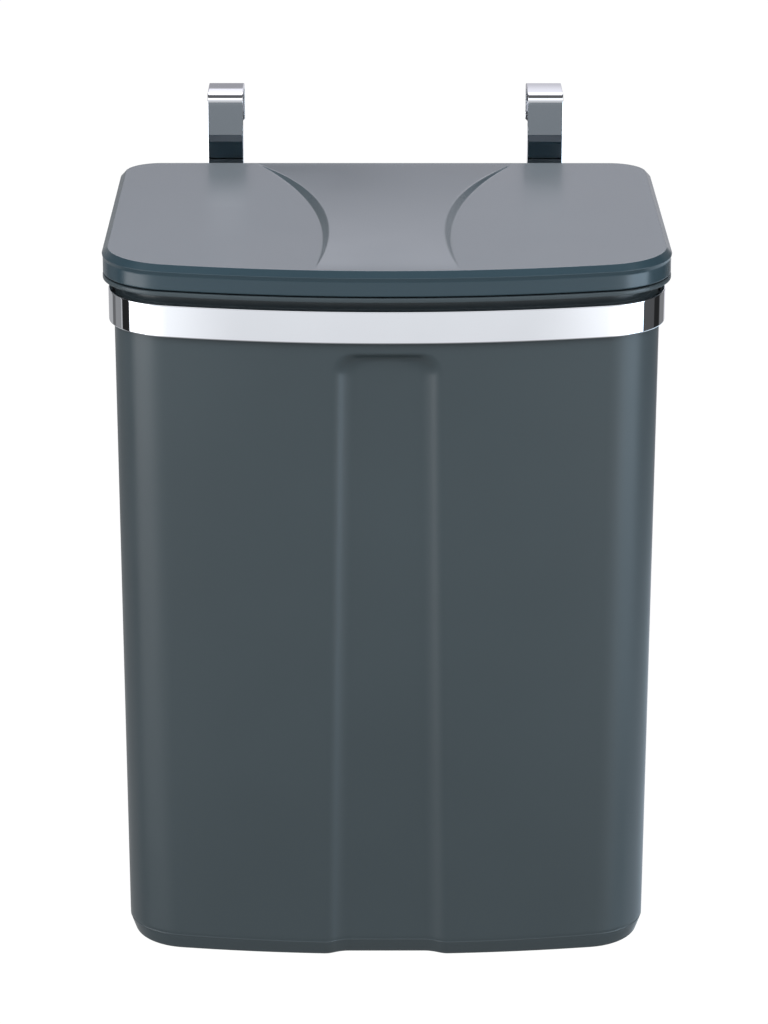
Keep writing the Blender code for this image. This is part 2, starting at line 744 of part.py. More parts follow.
def make_hook(name, x):
    """A flat strap bent over the door: long leg in front, short leg behind."""
    half = STRIP_THICK / 2
    leg = DOOR_GAP / 2 + half
    top = half
    profile = [(-leg, BAND_FOOT), (-leg, top), (leg, top), (leg, STRIP_THICK - HOOK_LEG)]
    start = x - STRAP_WIDTH / 2
    path = bent([(start, y, z) for y, z in profile], HOOK_BEND - half)
    shape = strip(path, (STRAP_WIDTH, 0, 0))
    shape.verts.ensure_lookup_table()
    near_end = path[-1].z + OVERRUN
    lowest = [vertex for vertex in shape.verts if vertex.co.z < near_end and len(vertex.link_edges) == 2]
    bmesh.ops.bevel(shape, geom=lowest, offset=HOOK_CORNER, segments=1, affect="VERTICES")
    return to_object(name, shape, parts, chrome)


def make_pad(name, x):
    """A soft pad on the back of the strap, where it bears on the door."""
    rear = STRAP_REAR + SEAT + PAD_THICK
    shape = bmesh.new()
    low = (x - PAD_WIDTH / 2, STRAP_REAR + SEAT, BAND_TOP)
    add_box(shape, low, (x + PAD_WIDTH / 2, rear, BAND_TOP + PAD_HEIGHT))
    across = [edge for edge in shape.edges if abs(edge.verts[0].co.y - edge.verts[1].co.y) > PAD_THICK / 2]
    bmesh.ops.bevel(shape, geom=across, offset=PAD_CORNER, segments=PAD_CORNER_STEPS, affect="EDGES")
    ride(to_object(name, shape, parts, soft_rubber), carrier_frame)


for old in list(bpy.data.objects):
    bpy.data.objects.remove(old)

parts = new_collection("cabinet_door_trash_can")
cutters = new_collection("cutters", in_render=False)

lid_plastic = material("lid_plastic", srgb(0.42, 0.45, 0.49), 0.32)
bin_plastic = material("bin_plastic", srgb(0.32, 0.35, 0.37), 0.42)
chrome = material("chrome", srgb(0.85, 0.87, 0.88), 0.06, 1.0)
steel = material("steel", srgb(0.70, 0.71, 0.72), 0.28, 1.0)
soft_rubber = material("soft_rubber", srgb(0.16, 0.17, 0.18), 0.8)

bin_origin = Vector((0, BIN_MIDDLE, BAND_TOP))
world_place = {}
carrier_frame = empty("carrier", (0, 0, 0))
bin_frame = empty("bin", bin_origin, carrier_frame)
lid_frame = empty("lid_axis", HINGE, bin_frame)

ride(make_bin(), bin_frame)
ride(make_lid(), lid_frame)
make_pins()
make_buffers()
make_carrier()
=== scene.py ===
"""Cabinet door trash can, dressed for its render: a lidded plastic bin in a chromed band on two door hooks.

Metres, +Z up, +X to the right when seen from the front, and the front faces -Y.
The origin is midway between the hooks, under their top plates and half way through the door gap.
"""

import math

import bmesh
import bpy
import numpy as np
from mathutils import Matrix, Vector


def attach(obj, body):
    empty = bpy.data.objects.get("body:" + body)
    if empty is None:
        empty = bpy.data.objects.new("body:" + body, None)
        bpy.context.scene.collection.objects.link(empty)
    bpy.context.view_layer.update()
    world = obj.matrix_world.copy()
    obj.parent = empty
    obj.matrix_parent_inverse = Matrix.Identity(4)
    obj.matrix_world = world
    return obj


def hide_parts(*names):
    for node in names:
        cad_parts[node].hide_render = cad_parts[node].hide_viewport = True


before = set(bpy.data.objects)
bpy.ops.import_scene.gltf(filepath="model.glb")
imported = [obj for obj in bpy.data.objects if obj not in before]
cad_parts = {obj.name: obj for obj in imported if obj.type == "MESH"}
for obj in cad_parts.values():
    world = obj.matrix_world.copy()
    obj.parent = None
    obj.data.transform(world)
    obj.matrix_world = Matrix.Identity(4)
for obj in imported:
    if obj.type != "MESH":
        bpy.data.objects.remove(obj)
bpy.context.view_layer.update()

# The part's own sizes, as its source names them
LID_WIDTH = 0.220
LID_DEPTH = 0.1747
BOW_RADIUS = 0.397
FRONT_CORNER = 0.031
REAR_CORNER = 0.0165
LEAST_CORNER = 0.0008
LID_SKIRT = 0.0097
LID_BEVEL_RUN = 0.0022
LID_BEVEL_DROP = 0.00285
LID_WALL = 0.0020
CROWN_HEIGHT = 0.0020
CROWN_FRONT_SETBACK = 0.0082
CROWN_REAR_SETBACK = 0.0045
WAIST_HALF = 0.0248
WAIST_RADIUS = 0.296
WAIST_SETBACK = 0.0438
STEP_RUN = 0.0031
LOCATOR_WALL = 0.0016
LOCATOR_REACH = 0.0040
LOCATOR_CLEARANCE = 0.0010
STOP_RIB_THICK = 0.0016
STOP_RIB_LIFT = 0.0005
STOP_RIB_SPREAD = 0.045
LID_GAP = 0.0006
RIM_INSET = 0.0002
RIM_OVERHANG = 0.0041
RIM_THICK = 0.00175
BIN_HEIGHT = 0.2762
BIN_WALL = 0.0020
BIN_DRAFT = 0.0014
BASE_CHAMFER_RISE = 0.0064
BASE_CHAMFER_RUN = 0.0025
BASE_RING = 0.008
BASE_RECESS = 0.0015
CREASE_BOW_RADIUS = 0.462
BASE_BOW_RADIUS = 0.545
NECK_DEPTH = 0.0030
NECK_RISE = 0.0008
SHOULDER_DROP = 0.0015
CHANNEL_DEPTH = 0.0035
CHANNEL_TOP_DROP = 0.0234
CHANNEL_HALF_TOP = 0.0146
CHANNEL_HALF_BASE = 0.0180
CHANNEL_SIDE_RUN = 0.0059
CHANNEL_TOP_RUN = 0.0018
CHANNEL_CORNER = 0.008
RIM_RIB_THICK = 0.0015
RIM_RIB_PITCH = 0.040
RIM_RIBS_A_SIDE = 3
HINGE_SPACING = 0.080
HINGE_SETBACK = 0.0045
HINGE_DROP = 0.0060
KNUCKLE_RADIUS = 0.0036
KNUCKLE_WIDTH = 0.0114
KNUCKLE_WEB = 0.0050
EAR_THICK = 0.0025
TAB_MARGIN = 0.0020
TAB_THICK = 0.0020
TAB_STEP = 0.0003
PIN_DIAMETER = 0.0030
PIN_PROUD = 0.0008
PIN_HEAD_DIAMETER = 0.0054
PIN_HEAD = 0.0010
BUFFER_DIAMETER = 0.0030
BUFFER_POCKET = 0.0010
BAND_HEIGHT = 0.0127
BAND_DROP = 0.00405
BAND_CLEARANCE = 0.0004
BAND_REAR_CORNER = 0.008
STRIP_THICK = 0.0016
STAY_END = 0.014
STAY_BEND = 0.0030
HOOK_SPACING = 0.1356
STRAP_WIDTH = 0.015
STRAP_TO_LID = 0.023
HOOK_RISE = 0.0235
HOOK_BEND = 0.0036
HOOK_LEG = 0.0186
HOOK_CORNER = 0.0025
DOOR_GAP = 0.022
RIVET_HEAD_DIAMETER = 0.0054
RIVET_HEAD = 0.0010
RIVET_SPREAD = 0.0076
PAD_WIDTH = 0.013
PAD_HEIGHT = 0.022
PAD_THICK = 0.0015
PAD_CORNER = 0.0020
SEAT = 0.0003

LID_TOP = STRIP_THICK - HOOK_RISE
LID_FOOT = LID_TOP - LID_SKIRT
RIM_TOP = LID_FOOT - LID_GAP
RIM_UNDER = RIM_TOP - RIM_THICK
BAND_TOP = RIM_UNDER - BAND_DROP
BAND_MIDDLE = BAND_TOP - BAND_HEIGHT / 2
BAND_FOOT = BAND_TOP - BAND_HEIGHT
SHOULDER = BAND_TOP - SHOULDER_DROP
BASE = RIM_TOP - BIN_HEIGHT
CHAMFER_TOP = BASE + BASE_CHAMFER_RISE
STRAP_REAR = -DOOR_GAP / 2
STRAP_FRONT = STRAP_REAR - STRIP_THICK
LID_REAR = STRAP_FRONT - STRAP_TO_LID
LID_FRONT = LID_REAR - LID_DEPTH
HINGE = Vector((0, LID_REAR + HINGE_SETBACK, LID_TOP - HINGE_DROP))
WALL_INSET = RIM_INSET + RIM_OVERHANG
NECK_INSET = WALL_INSET + NECK_DEPTH
MOUTH_INSET = NECK_INSET + BIN_WALL
LOCATOR_INSET = MOUTH_INSET + LOCATOR_CLEARANCE
STRIP_INSET = WALL_INSET - BAND_CLEARANCE - STRIP_THICK
BIN_MIDDLE = (LID_FRONT + LID_REAR) / 2
BAND_REAR = STRAP_FRONT - SEAT
FLOOR_TOP = RIM_TOP - CHANNEL_TOP_DROP - CHANNEL_TOP_RUN
CHAMFER_SLOPE = BASE_CHAMFER_RUN / BASE_CHAMFER_RISE
EAR_OUT = KNUCKLE_WIDTH / 2 + SEAT + EAR_THICK
SIDES = (("left", -1), ("right", 1))

# Fine forms that the scene adds
PARTING_PROUD = 0.00016
PARTING_HALF = 0.00022
HOOK_CROWN = 0.00012
BEVEL_LIFT = 0.00045
GROOVE_DEPTH = 0.00034
GROOVE_DROP = 0.00100
SKIRT_LEAN = 0.00030
CHANNEL_FLOOR_SOFT = 0.0018
CHANNEL_EDGE_SOFT = 0.0013
CROWN_EDGE_SOFT = 0.00030
CROWN_FOOT_SOFT = 0.00022
RIB_EDGE = 0.0002
LUG_EDGE = 0.0003
TAB_EDGE = 0.0004
PAD_EDGE = 0.0004
STRIP_EDGE = 0.00035
SHARP_DEGREES = 38

# How far ribs and lugs run into what carries them, and how far ribs end inside the rim's edge
RIB_OVERRUN = 0.0002
WALL_OVERRUN = 0.0005
KNUCKLE_OVERRUN = 0.0008
RIB_SETBACK = 0.0007

# Roundings of the moulded profiles: a radius and a count of steps
FINE_ROUND = (0.0004, 4)
NECK_ROUND = (0.0005, 4)
SMALL_ROUND = (0.0006, 4)
LIP_ROUND = (0.0006, 5)
RIM_UNDER_ROUND = (0.0003, 5)
RIM_TOP_ROUND = (0.0004, 6)
BEVEL_ROUND = (0.0006, 6)
BEVEL_FOOT_ROUND = (0.0003, 5)
GROOVE_ROUND = (0.0040, 5)
PANEL_ROUND = (0.0008, 4)
BASE_ROUND = (0.0020, 8)
CREASE_ROUND = (0.0100, 24)
INNER_CREASE_ROUND = (0.0020, 6)
FLOOR_ROUND = (0.0014, 5)

# Shapes


def arc(centre, radius, start, end, steps):
    """Points from one angle to another, in degrees, both ends included."""
    turn = np.radians(np.linspace(start, end, steps + 1))
    return np.stack([centre[0] + radius * np.cos(turn), centre[1] + radius * np.sin(turn)], axis=1)


def wall_inset(height):
    """How far the bin's wall lies inside the lid's skirt line at a height, with its draft and chamfer."""
    lean = np.maximum(CHAMFER_TOP - height, 0) * CHAMFER_SLOPE
    return WALL_INSET + BIN_DRAFT * (RIM_UNDER - height) / (RIM_UNDER - BASE) + lean


def bow_radius(height):
    """The front's bow at a height: the lid's down to the bin's shoulder, and flatter towards the base."""
    levels = (BASE, CHAMFER_TOP, SHOULDER)
    return 1 / np.interp(height, levels, (1 / BASE_BOW_RADIUS, 1 / CREASE_BOW_RADIUS, 1 / BOW_RADIUS))


def front_line(x, inset, height=LID_TOP):
    """Where the bowed front lies along Y, at a place across it."""
    bow = bow_radius(height) - inset
    return LID_FRONT + inset + bow - np.sqrt(bow**2 - x**2)


def smooth_max(a, b, width):
    """The larger of two, with a rounded corner where they cross."""
    blend = np.maximum(width - np.abs(a - b), 0) / width
    return np.maximum(a, b) + blend**2 * width / 4


def smooth_min(a, b, width):
    return -smooth_max(-a, -b, width)


class Outline:
    """A plan outline that can be drawn at any inset, always with the same columns."""

    def __init__(self, bow_x, back_x, corner_steps, side_steps, rear=LID_REAR, rear_corner=REAR_CORNER):
        """bow_x and back_x are places across the right half, from the middle outwards."""
        self.rear = rear
        self.rear_corner = rear_corner
        self.corner_steps = corner_steps
        self.side_steps = side_steps
        half_front = LID_WIDTH / 2 - FRONT_CORNER
        widest = math.asin(half_front / (BOW_RADIUS - FRONT_CORNER))
        places = np.array([x for x in bow_x if x > 0])
        right = np.append(np.arcsin(places / BOW_RADIUS) / widest, 1)
        self.bow = np.concatenate([-right[::-1], [0], right])
        self.back_x = np.array([x for x in back_x if x > 0])

    def at(self, inset, height=LID_TOP):
        half_width = LID_WIDTH / 2 - inset
        front = LID_FRONT + inset
        rear = self.rear - inset
        bow = float(bow_radius(height)) - inset
        front_corner = max(FRONT_CORNER - inset, LEAST_CORNER)
        rear_corner = max(self.rear_corner - inset, LEAST_CORNER)
        half_front = half_width - front_corner
        corner_y = front + bow - math.sqrt((bow - front_corner) ** 2 - half_front**2)
        widest = math.asin(half_front / (bow - front_corner))
        turn = self.bow * widest
        bowed = np.stack([bow * np.sin(turn), front + bow - bow * np.cos(turn)], axis=1)
        turn_in = math.degrees(widest) - 90
        corner = arc((half_front, corner_y), front_corner, turn_in, 0, self.corner_steps)[1:]
        rear_y = rear - rear_corner
        side_y = np.linspace(corner_y, rear_y, self.side_steps + 1)[1:-1]
        side = np.stack([np.full(len(side_y), half_width), side_y], axis=1)
        half_rear = half_width - rear_corner
        rear_arc = arc((half_rear, rear_y), rear_corner, 0, 90, self.corner_steps)
        fraction = np.minimum(self.back_x / (LID_WIDTH / 2 - self.rear_corner), 1)
        back = np.stack([fraction * half_rear, np.full(len(fraction), rear)], axis=1)
        right = np.concatenate([corner, side, rear_arc, back[::-1]])
        left = right[::-1] * (-1, 1)
        return np.concatenate([bowed, right, [(0, rear)], left])


def corner_arc(before, corner, after, radius, steps):
    """A corner's directions back and on, how far its rounding reaches, and the rounding's points."""
    back = (before - corner) / np.linalg.norm(before - corner)
    on = (after - corner) / np.linalg.norm(after - corner)
    half = math.acos(np.clip(back @ on, -1, 1)) / 2
    reach = radius / math.tan(half)
    middle = (back + on) / np.linalg.norm(back + on)
    centre = corner + middle * radius / math.sin(half)
    first, last = corner + back * reach - centre, corner + on * reach - centre
    whole = math.pi - 2 * half
    points = []
    for share in np.arange(steps + 1) / steps:
        blend = first * math.sin((1 - share) * whole) + last * math.sin(share * whole)
        points.append(centre + blend / math.sin(whole))
    return back, on, reach, points


def rounded(profile, support=0.0004):
    """A profile through corner points, each given with a radius and a count of steps for its rounding.

    Support points beside a rounding keep the straight runs flat where the shading is smooth.
    """
    corners = [np.array(place[:2], float) for place in profile]
    path = [corners[0]]
    for before, corner, after, given in zip(corners, corners[1:], corners[2:], profile[1:]):
        radius, steps = given[2:]
        back, on, reach, points = corner_arc(before, corner, after, radius, steps)
        if reach + 2 * support < np.linalg.norm(before - corner):
            path.append(corner + back * (reach + support))
        path += points
        if reach + 2 * support < np.linalg.norm(after - corner):
            path.append(corner + on * (reach + support))
    return np.array(path + [corners[-1]])


class Skin:
    """Gathers rings and faces for one mesh."""

    def __init__(self):
        self.points = []
        self.faces = []

    def ring(self, points):
        first = len(self.points)
        self.points += [tuple(point) for point in points]
        return list(range(first, first + len(points)))

    def join(self, lower, upper, closed=True):
        """Faces between two rings of as many points."""
        for index in range(0 if closed else 1, len(lower)):
            self.faces.append((lower[index - 1], lower[index], upper[index], upper[index - 1]))

    def tube(self, rings, closed=False):
        made = [self.ring(points) for points in rings]
        for lower, upper in zip(made, made[1:] + (made[:1] if closed else [])):
            self.join(lower, upper)
        return made

    def solid(self, rings):
        made = self.tube(rings)
        self.faces += [tuple(made[0]), tuple(made[-1])]

    def object(self, name, body, look, nodes=()):
        mesh = bpy.data.meshes.new(name)
        mesh.from_pydata(self.points, [], self.faces)
        shape = bmesh.new()
        shape.from_mesh(mesh)
        bmesh.ops.recalc_face_normals(shape, faces=shape.faces)
        keep(shape, mesh, body, look, nodes)


def keep(shape, mesh, body, look, nodes=()):
    """Turns a bmesh into an object named after its mesh, which rides a body and replaces its nodes."""
    shape.to_mesh(mesh)
    shape.free()
    made = bpy.data.objects.new(mesh.name, mesh)
    bpy.context.scene.collection.objects.link(made)
    mesh.materials.append(look)
    mesh.shade_smooth()
    mesh.set_sharp_from_angle(angle=math.radians(SHARP_DEGREES))
    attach(made, body)
    if nodes:
        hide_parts(*nodes)


def heights(outline, profile):
    """Rings of an outline along a profile of (inset, height)."""
    for inset, height in profile:
        ring = outline.at(inset, height)
        yield np.column_stack([ring, np.full(len(ring), height)])


def block(shape, low, high):
    """Adds a plain block between two corners."""
    low, high = Vector(low), Vector(high)
    matrix = Matrix.Translation((low + high) / 2) @ Matrix.Diagonal((*(high - low), 1))
    bmesh.ops.create_cube(shape, size=1, matrix=matrix)


def soften(shape, edges, radius, segments=3):
    bmesh.ops.bevel(shape, geom=edges, offset=radius, segments=segments, profile=0.5, affect="EDGES")


def soft_boxes(name, body, look, boxes, edge):
    """Plain blocks with rounded edges, all in one piece."""
    shape = bmesh.new()
    for low, high in boxes:
        block(shape, low, high)
    soften(shape, shape.edges[:], edge)
    keep(shape, bpy.data.meshes.new(name), body, look)


def side_ribs(inner, outer, half, low, high):
    """Boxes for the ribs along both sides, from one distance from the middle plane to another."""
    boxes = []
    for index in range(RIM_RIBS_A_SIDE):
        y = BIN_MIDDLE + RIM_RIB_PITCH * (index - (RIM_RIBS_A_SIDE - 1) / 2)
        for near, far in ((inner, outer), (-outer, -inner)):
            boxes.append(((near, y - half, low), (far, y + half, high)))
    return boxes


# Materials


def colour(red, green, blue):
    """An sRGB colour from 0 to 255 as the linear values that a shader takes."""
    parts = [value / 255 for value in (red, green, blue)]
    return tuple(v / 12.92 if v < 0.04 else ((v + 0.055) / 1.055) ** 2.4 for v in parts) + (1.0,)


def add_node(tree, kind, values=()):
    """Adds a shader node. Its sockets' values are numbers, colours or the outputs of other nodes."""
    node = tree.nodes.new(kind)
    for socket, value in dict(values).items():
        if isinstance(value, bpy.types.NodeSocket):
            tree.links.new(value, node.inputs[socket])
        else:
            node.inputs[socket].default_value = value
    return node


class Look:
    """A procedural material, with short calls for the nodes it needs."""

    def __init__(self, name, roughness, metallic=0.0):
        old = bpy.data.materials.get(name)
        if old:
            old.name = name + "_plain"
        self.made = bpy.data.materials.new(name)
        self.made.use_nodes = True
        self.tree = self.made.node_tree
        self.shader = self.tree.nodes["Principled BSDF"]
        self.shader.inputs["Metallic"].default_value = metallic
        self.shader.inputs["Roughness"].default_value = roughness
        self.place = self.tree.nodes.new("ShaderNodeTexCoord").outputs["Object"]

    def feed(self, socket, value):
        self.tree.links.new(value, self.shader.inputs[socket])

    def noise(self, scale, detail, rough=0.5, stretch=None):
        where = self.place
        if stretch:
            where = add_node(self.tree, "ShaderNodeMapping", {"Vector": where, "Scale": stretch}).outputs[0]
        values = {"Vector": where, "Scale": scale, "Detail": detail, "Roughness": rough}
        return add_node(self.tree, "ShaderNodeTexNoise", values).outputs["Fac"]

    def spread(self, value, low, high):
        """Spreads the middle of a noise's range from low to high."""
        values = {"Value": value, "From Min": 0.3, "From Max": 0.7, "To Min": low, "To Max": high}
        return add_node(self.tree, "ShaderNodeMapRange", values).outputs["Result"]

    def mix(self, share, first, second):
        node = self.tree.nodes.new("ShaderNodeMix")
        node.data_type = "RGBA"
        self.tree.links.new(share, node.inputs["Factor"])
        node.inputs["A"].default_value = first
        node.inputs["B"].default_value = second
        return node.outputs["Result"]

    def bump(self, height, distance, strength, before=None):
        values = {"Height": height, "Distance": distance, "Strength": strength}
        if before:
            values["Normal"] = before
        return add_node(self.tree, "ShaderNodeBump", values).outputs["Normal"]


def shade(base, factor):
    return tuple(value * factor for value in base[:3]) + (1.0,)


def plastic(name, base, roughness, grain):
    """Moulded plastic: fine even grain, faint flow marks and a slightly uneven gloss."""
    look = Look(name, roughness)
    tone = look.spread(look.noise(9, 3), 0, 1)
    look.feed("Base Color", look.mix(tone, shade(base, 0.95), shade(base, 1.05)))
    look.feed("Roughness", look.spread(look.noise(26, 1), roughness - 0.025, roughness + 0.025))
    flow = look.bump(look.noise(16, 1), 0.00005, 0.5)
    look.feed("Normal", look.bump(look.noise(3600, 2, 0.6), grain, 0.7, flow))
    return look.made


def metal(name, base, roughness, waves, brushed=None):
    """Steel strip or wire with a faint wave in it. A stretch in brushed gives it brush marks."""
    look = Look(name, roughness, 1.0)
    tone = look.spread(look.noise(30, 3), 0, 1)
    look.feed("Base Color", look.mix(tone, shade(base, 0.97), base))
    rub = look.noise(900, 3, 0.6, brushed) if brushed else look.noise(120, 4)
    look.feed("Roughness", look.spread(rub, roughness * 0.7, roughness * 1.3))
    wave = look.bump(look.noise(22, 1), waves, 0.6)
    if brushed:
        wave = look.bump(rub, 0.000006, 0.6, wave)
    look.feed("Normal", wave)
    return look.made


def rubber(name, base):
    look = Look(name, 0.75)
    tone = look.spread(look.noise(260, 4), 0, 1)
    look.feed("Base Color", look.mix(tone, shade(base, 0.8), shade(base, 1.25)))
    look.feed("Normal", look.bump(look.noise(1800, 3, 0.6), 0.00004, 0.6))
    return look.made


lid_plastic = plastic("lid_plastic", colour(57, 78, 89), 0.24, 0.0000012)
bin_plastic = plastic("bin_plastic", colour(71, 83, 89), 0.33, 0.000004)
chrome = metal("chrome", (0.86, 0.89, 0.93, 1), 0.035, 0.00004)
steel = metal("steel", (0.60, 0.61, 0.63, 1), 0.24, 0.00002, (1, 1, 12))
soft_rubber = rubber("soft_rubber", colour(38, 40, 43))

# The bin
FRONT_HALF = 0.08
FRONT_FROM_MIDDLE = 0.04
HALVINGS = 26


def channel_rise(x, z, growth):
    """How far in front of the channel's floor its wall stands at a place, negative inside the floor."""
    side_slope = CHANNEL_SIDE_RUN / CHANNEL_DEPTH
    top_slope = CHANNEL_TOP_RUN / CHANNEL_DEPTH
    side_mitre = growth * math.tan(math.atan2(CHANNEL_DEPTH, CHANNEL_SIDE_RUN) / 2)
    top_mitre = growth * math.tan(math.atan2(CHANNEL_DEPTH, CHANNEL_TOP_RUN) / 2)
    spread = (CHANNEL_HALF_BASE - CHANNEL_HALF_TOP) / (FLOOR_TOP - BASE)
    low = np.full(np.shape(x), -CHANNEL_DEPTH)
    high = np.full(np.shape(x), 8 * CHANNEL_DEPTH)
    for _ in range(HALVINGS):
        rise = (low + high) / 2
        corner_z = FLOOR_TOP + top_mitre + rise * top_slope - CHANNEL_CORNER
        half = CHANNEL_HALF_TOP + side_mitre + rise * side_slope
        half = half + spread * (FLOOR_TOP - np.minimum(z, corner_z))
        over = np.maximum(z - corner_z, 0)
        across = np.maximum(np.abs(x) - half + CHANNEL_CORNER, 0)
        outside = np.where(over > 0, np.hypot(across, over) - CHANNEL_CORNER, np.abs(x) - half)
        low = np.where(outside > 0, rise, low)
        high = np.where(outside > 0, high, rise)
    return (low + high) / 2


def channel_shift(x, z, growth):
    """How far the front wall is pressed in by the channel."""
    inset = wall_inset(z)
    surface = front_line(np.clip(x, -FRONT_HALF, FRONT_HALF), inset + growth, z)
    rise = smooth_max(channel_rise(x, z, growth), 0, CHANNEL_FLOOR_SOFT)
    pressed = LID_FRONT + inset + CHANNEL_DEPTH + growth - rise
    return smooth_max(surface, pressed, CHANNEL_EDGE_SOFT) - surface


def pressed_ring(outline, inset, height, growth, share=1.0):
    """A ring of the bin's wall, its front pressed in by a share of the channel."""
    ring = outline.at(inset, height)
    front = ring[:, 1] < BIN_MIDDLE - FRONT_FROM_MIDDLE
    level = np.full(len(ring), max(height, BASE))
    shift = np.where(front, channel_shift(ring[:, 0], level, growth), 0)
    return np.column_stack([ring[:, 0], ring[:, 1] + shift * share, np.full(len(ring), height)])


def make_bin():
    # Columns and rows lie close together where the channel's sides and its rounded top run
    close = 0.0005
    close_low, close_high = -0.0700, -0.0520
    sides = np.arange(0.0120, 0.0300, close)
    beyond = np.arange(0.0320, LID_WIDTH / 2 - FRONT_CORNER, 0.003)
    outline = Outline([0.004, 0.008, *sides, *beyond], np.arange(0.010, 0.093, 0.010), 26, 14)
    low_levels = np.arange(CHAMFER_TOP + 0.004, close_low, 0.008)
    levels = [*low_levels, *np.arange(close_low, close_high, close), -0.048, -0.0435]

    # Near the shoulder, the crease and the base the rows come from the rounded profiles instead
    base_inset = wall_inset(BASE)
    ring_inset = base_inset + BASE_RING
    panel = BASE + BASE_RECESS
    panel_run = 0.012
    outside = rounded(
        [
            (ring_inset + BASE_RECESS + panel_run, panel),
            (ring_inset + BASE_RECESS, panel, *PANEL_ROUND),
            (ring_inset, BASE, *SMALL_ROUND),
            (base_inset, BASE, *BASE_ROUND),
            (wall_inset(CHAMFER_TOP), CHAMFER_TOP, *CREASE_ROUND),
            (wall_inset(SHOULDER), SHOULDER, *LIP_ROUND),
            (NECK_INSET, SHOULDER + NECK_RISE, *FINE_ROUND),
            (NECK_INSET, RIM_UNDER, *NECK_ROUND),
            (RIM_INSET, RIM_UNDER, *RIM_UNDER_ROUND),
            (RIM_INSET, RIM_TOP, *RIM_TOP_ROUND),
            (MOUTH_INSET, RIM_TOP, *LIP_ROUND),
            (MOUTH_INSET, RIM_UNDER),
        ]
    )
    wall_top = SHOULDER - 0.002
    wall = []
    for inset, z in outside:
        if z < wall_top:
            proud = PARTING_PROUD * math.exp(-(((z - CHAMFER_TOP) / PARTING_HALF) ** 2))
            wall.append((inset - proud, z))
    above = [step for step in outside if step[1] >= wall_top]
    wall += [(wall_inset(z), z) for z in levels]
    inner_shoulder = SHOULDER - BIN_WALL
    floor = panel + BIN_WALL
    floor_inset = wall_inset(floor) + BIN_WALL
    floor_run = 0.010
    inside = rounded(
        [
            (MOUTH_INSET, RIM_UNDER - 0.0005),
            (MOUTH_INSET, inner_shoulder + NECK_RISE, *SMALL_ROUND),
            (wall_inset(inner_shoulder) + BIN_WALL, inner_shoulder, *SMALL_ROUND),
            (wall_inset(CHAMFER_TOP) + BIN_WALL, CHAMFER_TOP, *INNER_CREASE_ROUND),
            (floor_inset, floor, *FLOOR_ROUND),
            (floor_inset + floor_run, floor),
        ]
    )
    inner_top = inner_shoulder - 0.001
    inner_foot = CHAMFER_TOP + 0.0015
    inner = [step for step in inside if step[1] > inner_top]
    inner += [(wall_inset(z) + BIN_WALL, z) for z in levels[::-1]]
    inner += [step for step in inside if step[1] < inner_foot]

    # Under the base the press fades out across the ring that the bin stands on
    fade_height = BASE + 0.002
    fade_run = BASE_RING - 0.001
    rings = []
    for inset, height in wall:
        share = np.clip(1 - (inset - base_inset) / fade_run, 0, 1) if height <= fade_height else 1.0
        rings.append(pressed_ring(outline, inset, height, 0, share))
    rings += list(heights(outline, above))
    rings += [pressed_ring(outline, inset, height, BIN_WALL) for inset, height in inner]
    skin = Skin()
    skin.solid(rings)
    skin.object("bin_shell", "bin", bin_plastic, ["bin_body"])

    half = RIM_RIB_THICK / 2
    low = BAND_TOP + SEAT
    high = RIM_UNDER + RIB_OVERRUN
    rear = LID_REAR - NECK_INSET - WALL_OVERRUN
    inner_x = LID_WIDTH / 2 - NECK_INSET - WALL_OVERRUN
    outer_x = LID_WIDTH / 2 - RIM_INSET - RIB_SETBACK
    tab_top = RIM_TOP - TAB_STEP
    tab_rear = HINGE.y + KNUCKLE_RADIUS + TAB_STEP
    boxes = side_ribs(inner_x, outer_x, half, low, high)
    tabs = []
    for _, sign in SIDES:
        x = sign * HINGE_SPACING / 2
        boxes.append(((x - half, rear, low), (x + half, HINGE.y, high)))
        near, far = x - EAR_OUT - TAB_MARGIN, x + EAR_OUT + TAB_MARGIN
        tabs.append(((near, rear, tab_top - TAB_THICK), (far, tab_rear, tab_top)))
    soft_boxes("rim_ribs", "bin", bin_plastic, boxes, RIB_EDGE)
    soft_boxes("hinge_tabs", "bin", bin_plastic, tabs, TAB_EDGE)
    for side, sign in SIDES:
        x = sign * HINGE_SPACING / 2
        for ear, start in (("outer", x - EAR_OUT), ("inner", x + KNUCKLE_WIDTH / 2 + SEAT)):
            name = "hinge_ear_" + side + "_" + ear
            holed_lug(name, "bin", bin_plastic, start, EAR_THICK, tab_top - WALL_OVERRUN, True)


def holed_lug(name, body, look, start, width, reach, upright):
    """A lug round the hinge axis with a pin hole. Its straight foot runs down, or forwards into the lid."""
    steps = 48
    least = 1e-6
    half = KNUCKLE_RADIUS if upright else KNUCKLE_WEB / 2
    foot = (HINGE.z if upright else HINGE.y) - reach
    round_until = math.sqrt(1 - (half / KNUCKLE_RADIUS) ** 2)
    centre = np.array([HINGE.y, HINGE.z])
    outer = []
    for index in range(steps):
        turn = 2 * math.pi * index / steps
        across, along = math.cos(turn), math.sin(turn)
        side, down = (across, -along) if upright else (along, -across)
        scale = KNUCKLE_RADIUS
        if down > round_until:
            scale = min(half / max(abs(side), least), foot / down)
        outer.append((HINGE.y + across * scale, HINGE.z + along * scale))
    outer = np.array(outer)
    away = (outer - centre) / np.linalg.norm(outer - centre, axis=1)[:, None]
    inner = centre + away * (PIN_DIAMETER / 2 + SEAT)
    edge = LUG_EDGE
    rings = []
    for x, loop, shrink in (
        (start, inner, 0),
        (start, outer, edge),
        (start + edge * 0.3, outer, edge * 0.3),
        (start + edge, outer, 0),
        (start + width - edge, outer, 0),
        (start + width - edge * 0.3, outer, edge * 0.3),
        (start + width, outer, edge),
        (start + width, inner, 0),
    ):
        points = loop - away * shrink
        rings.append(np.column_stack([np.full(len(points), x), points]))
    skin = Skin()
    skin.tube(rings, closed=True)
    skin.object(name, body, look)


# The lid


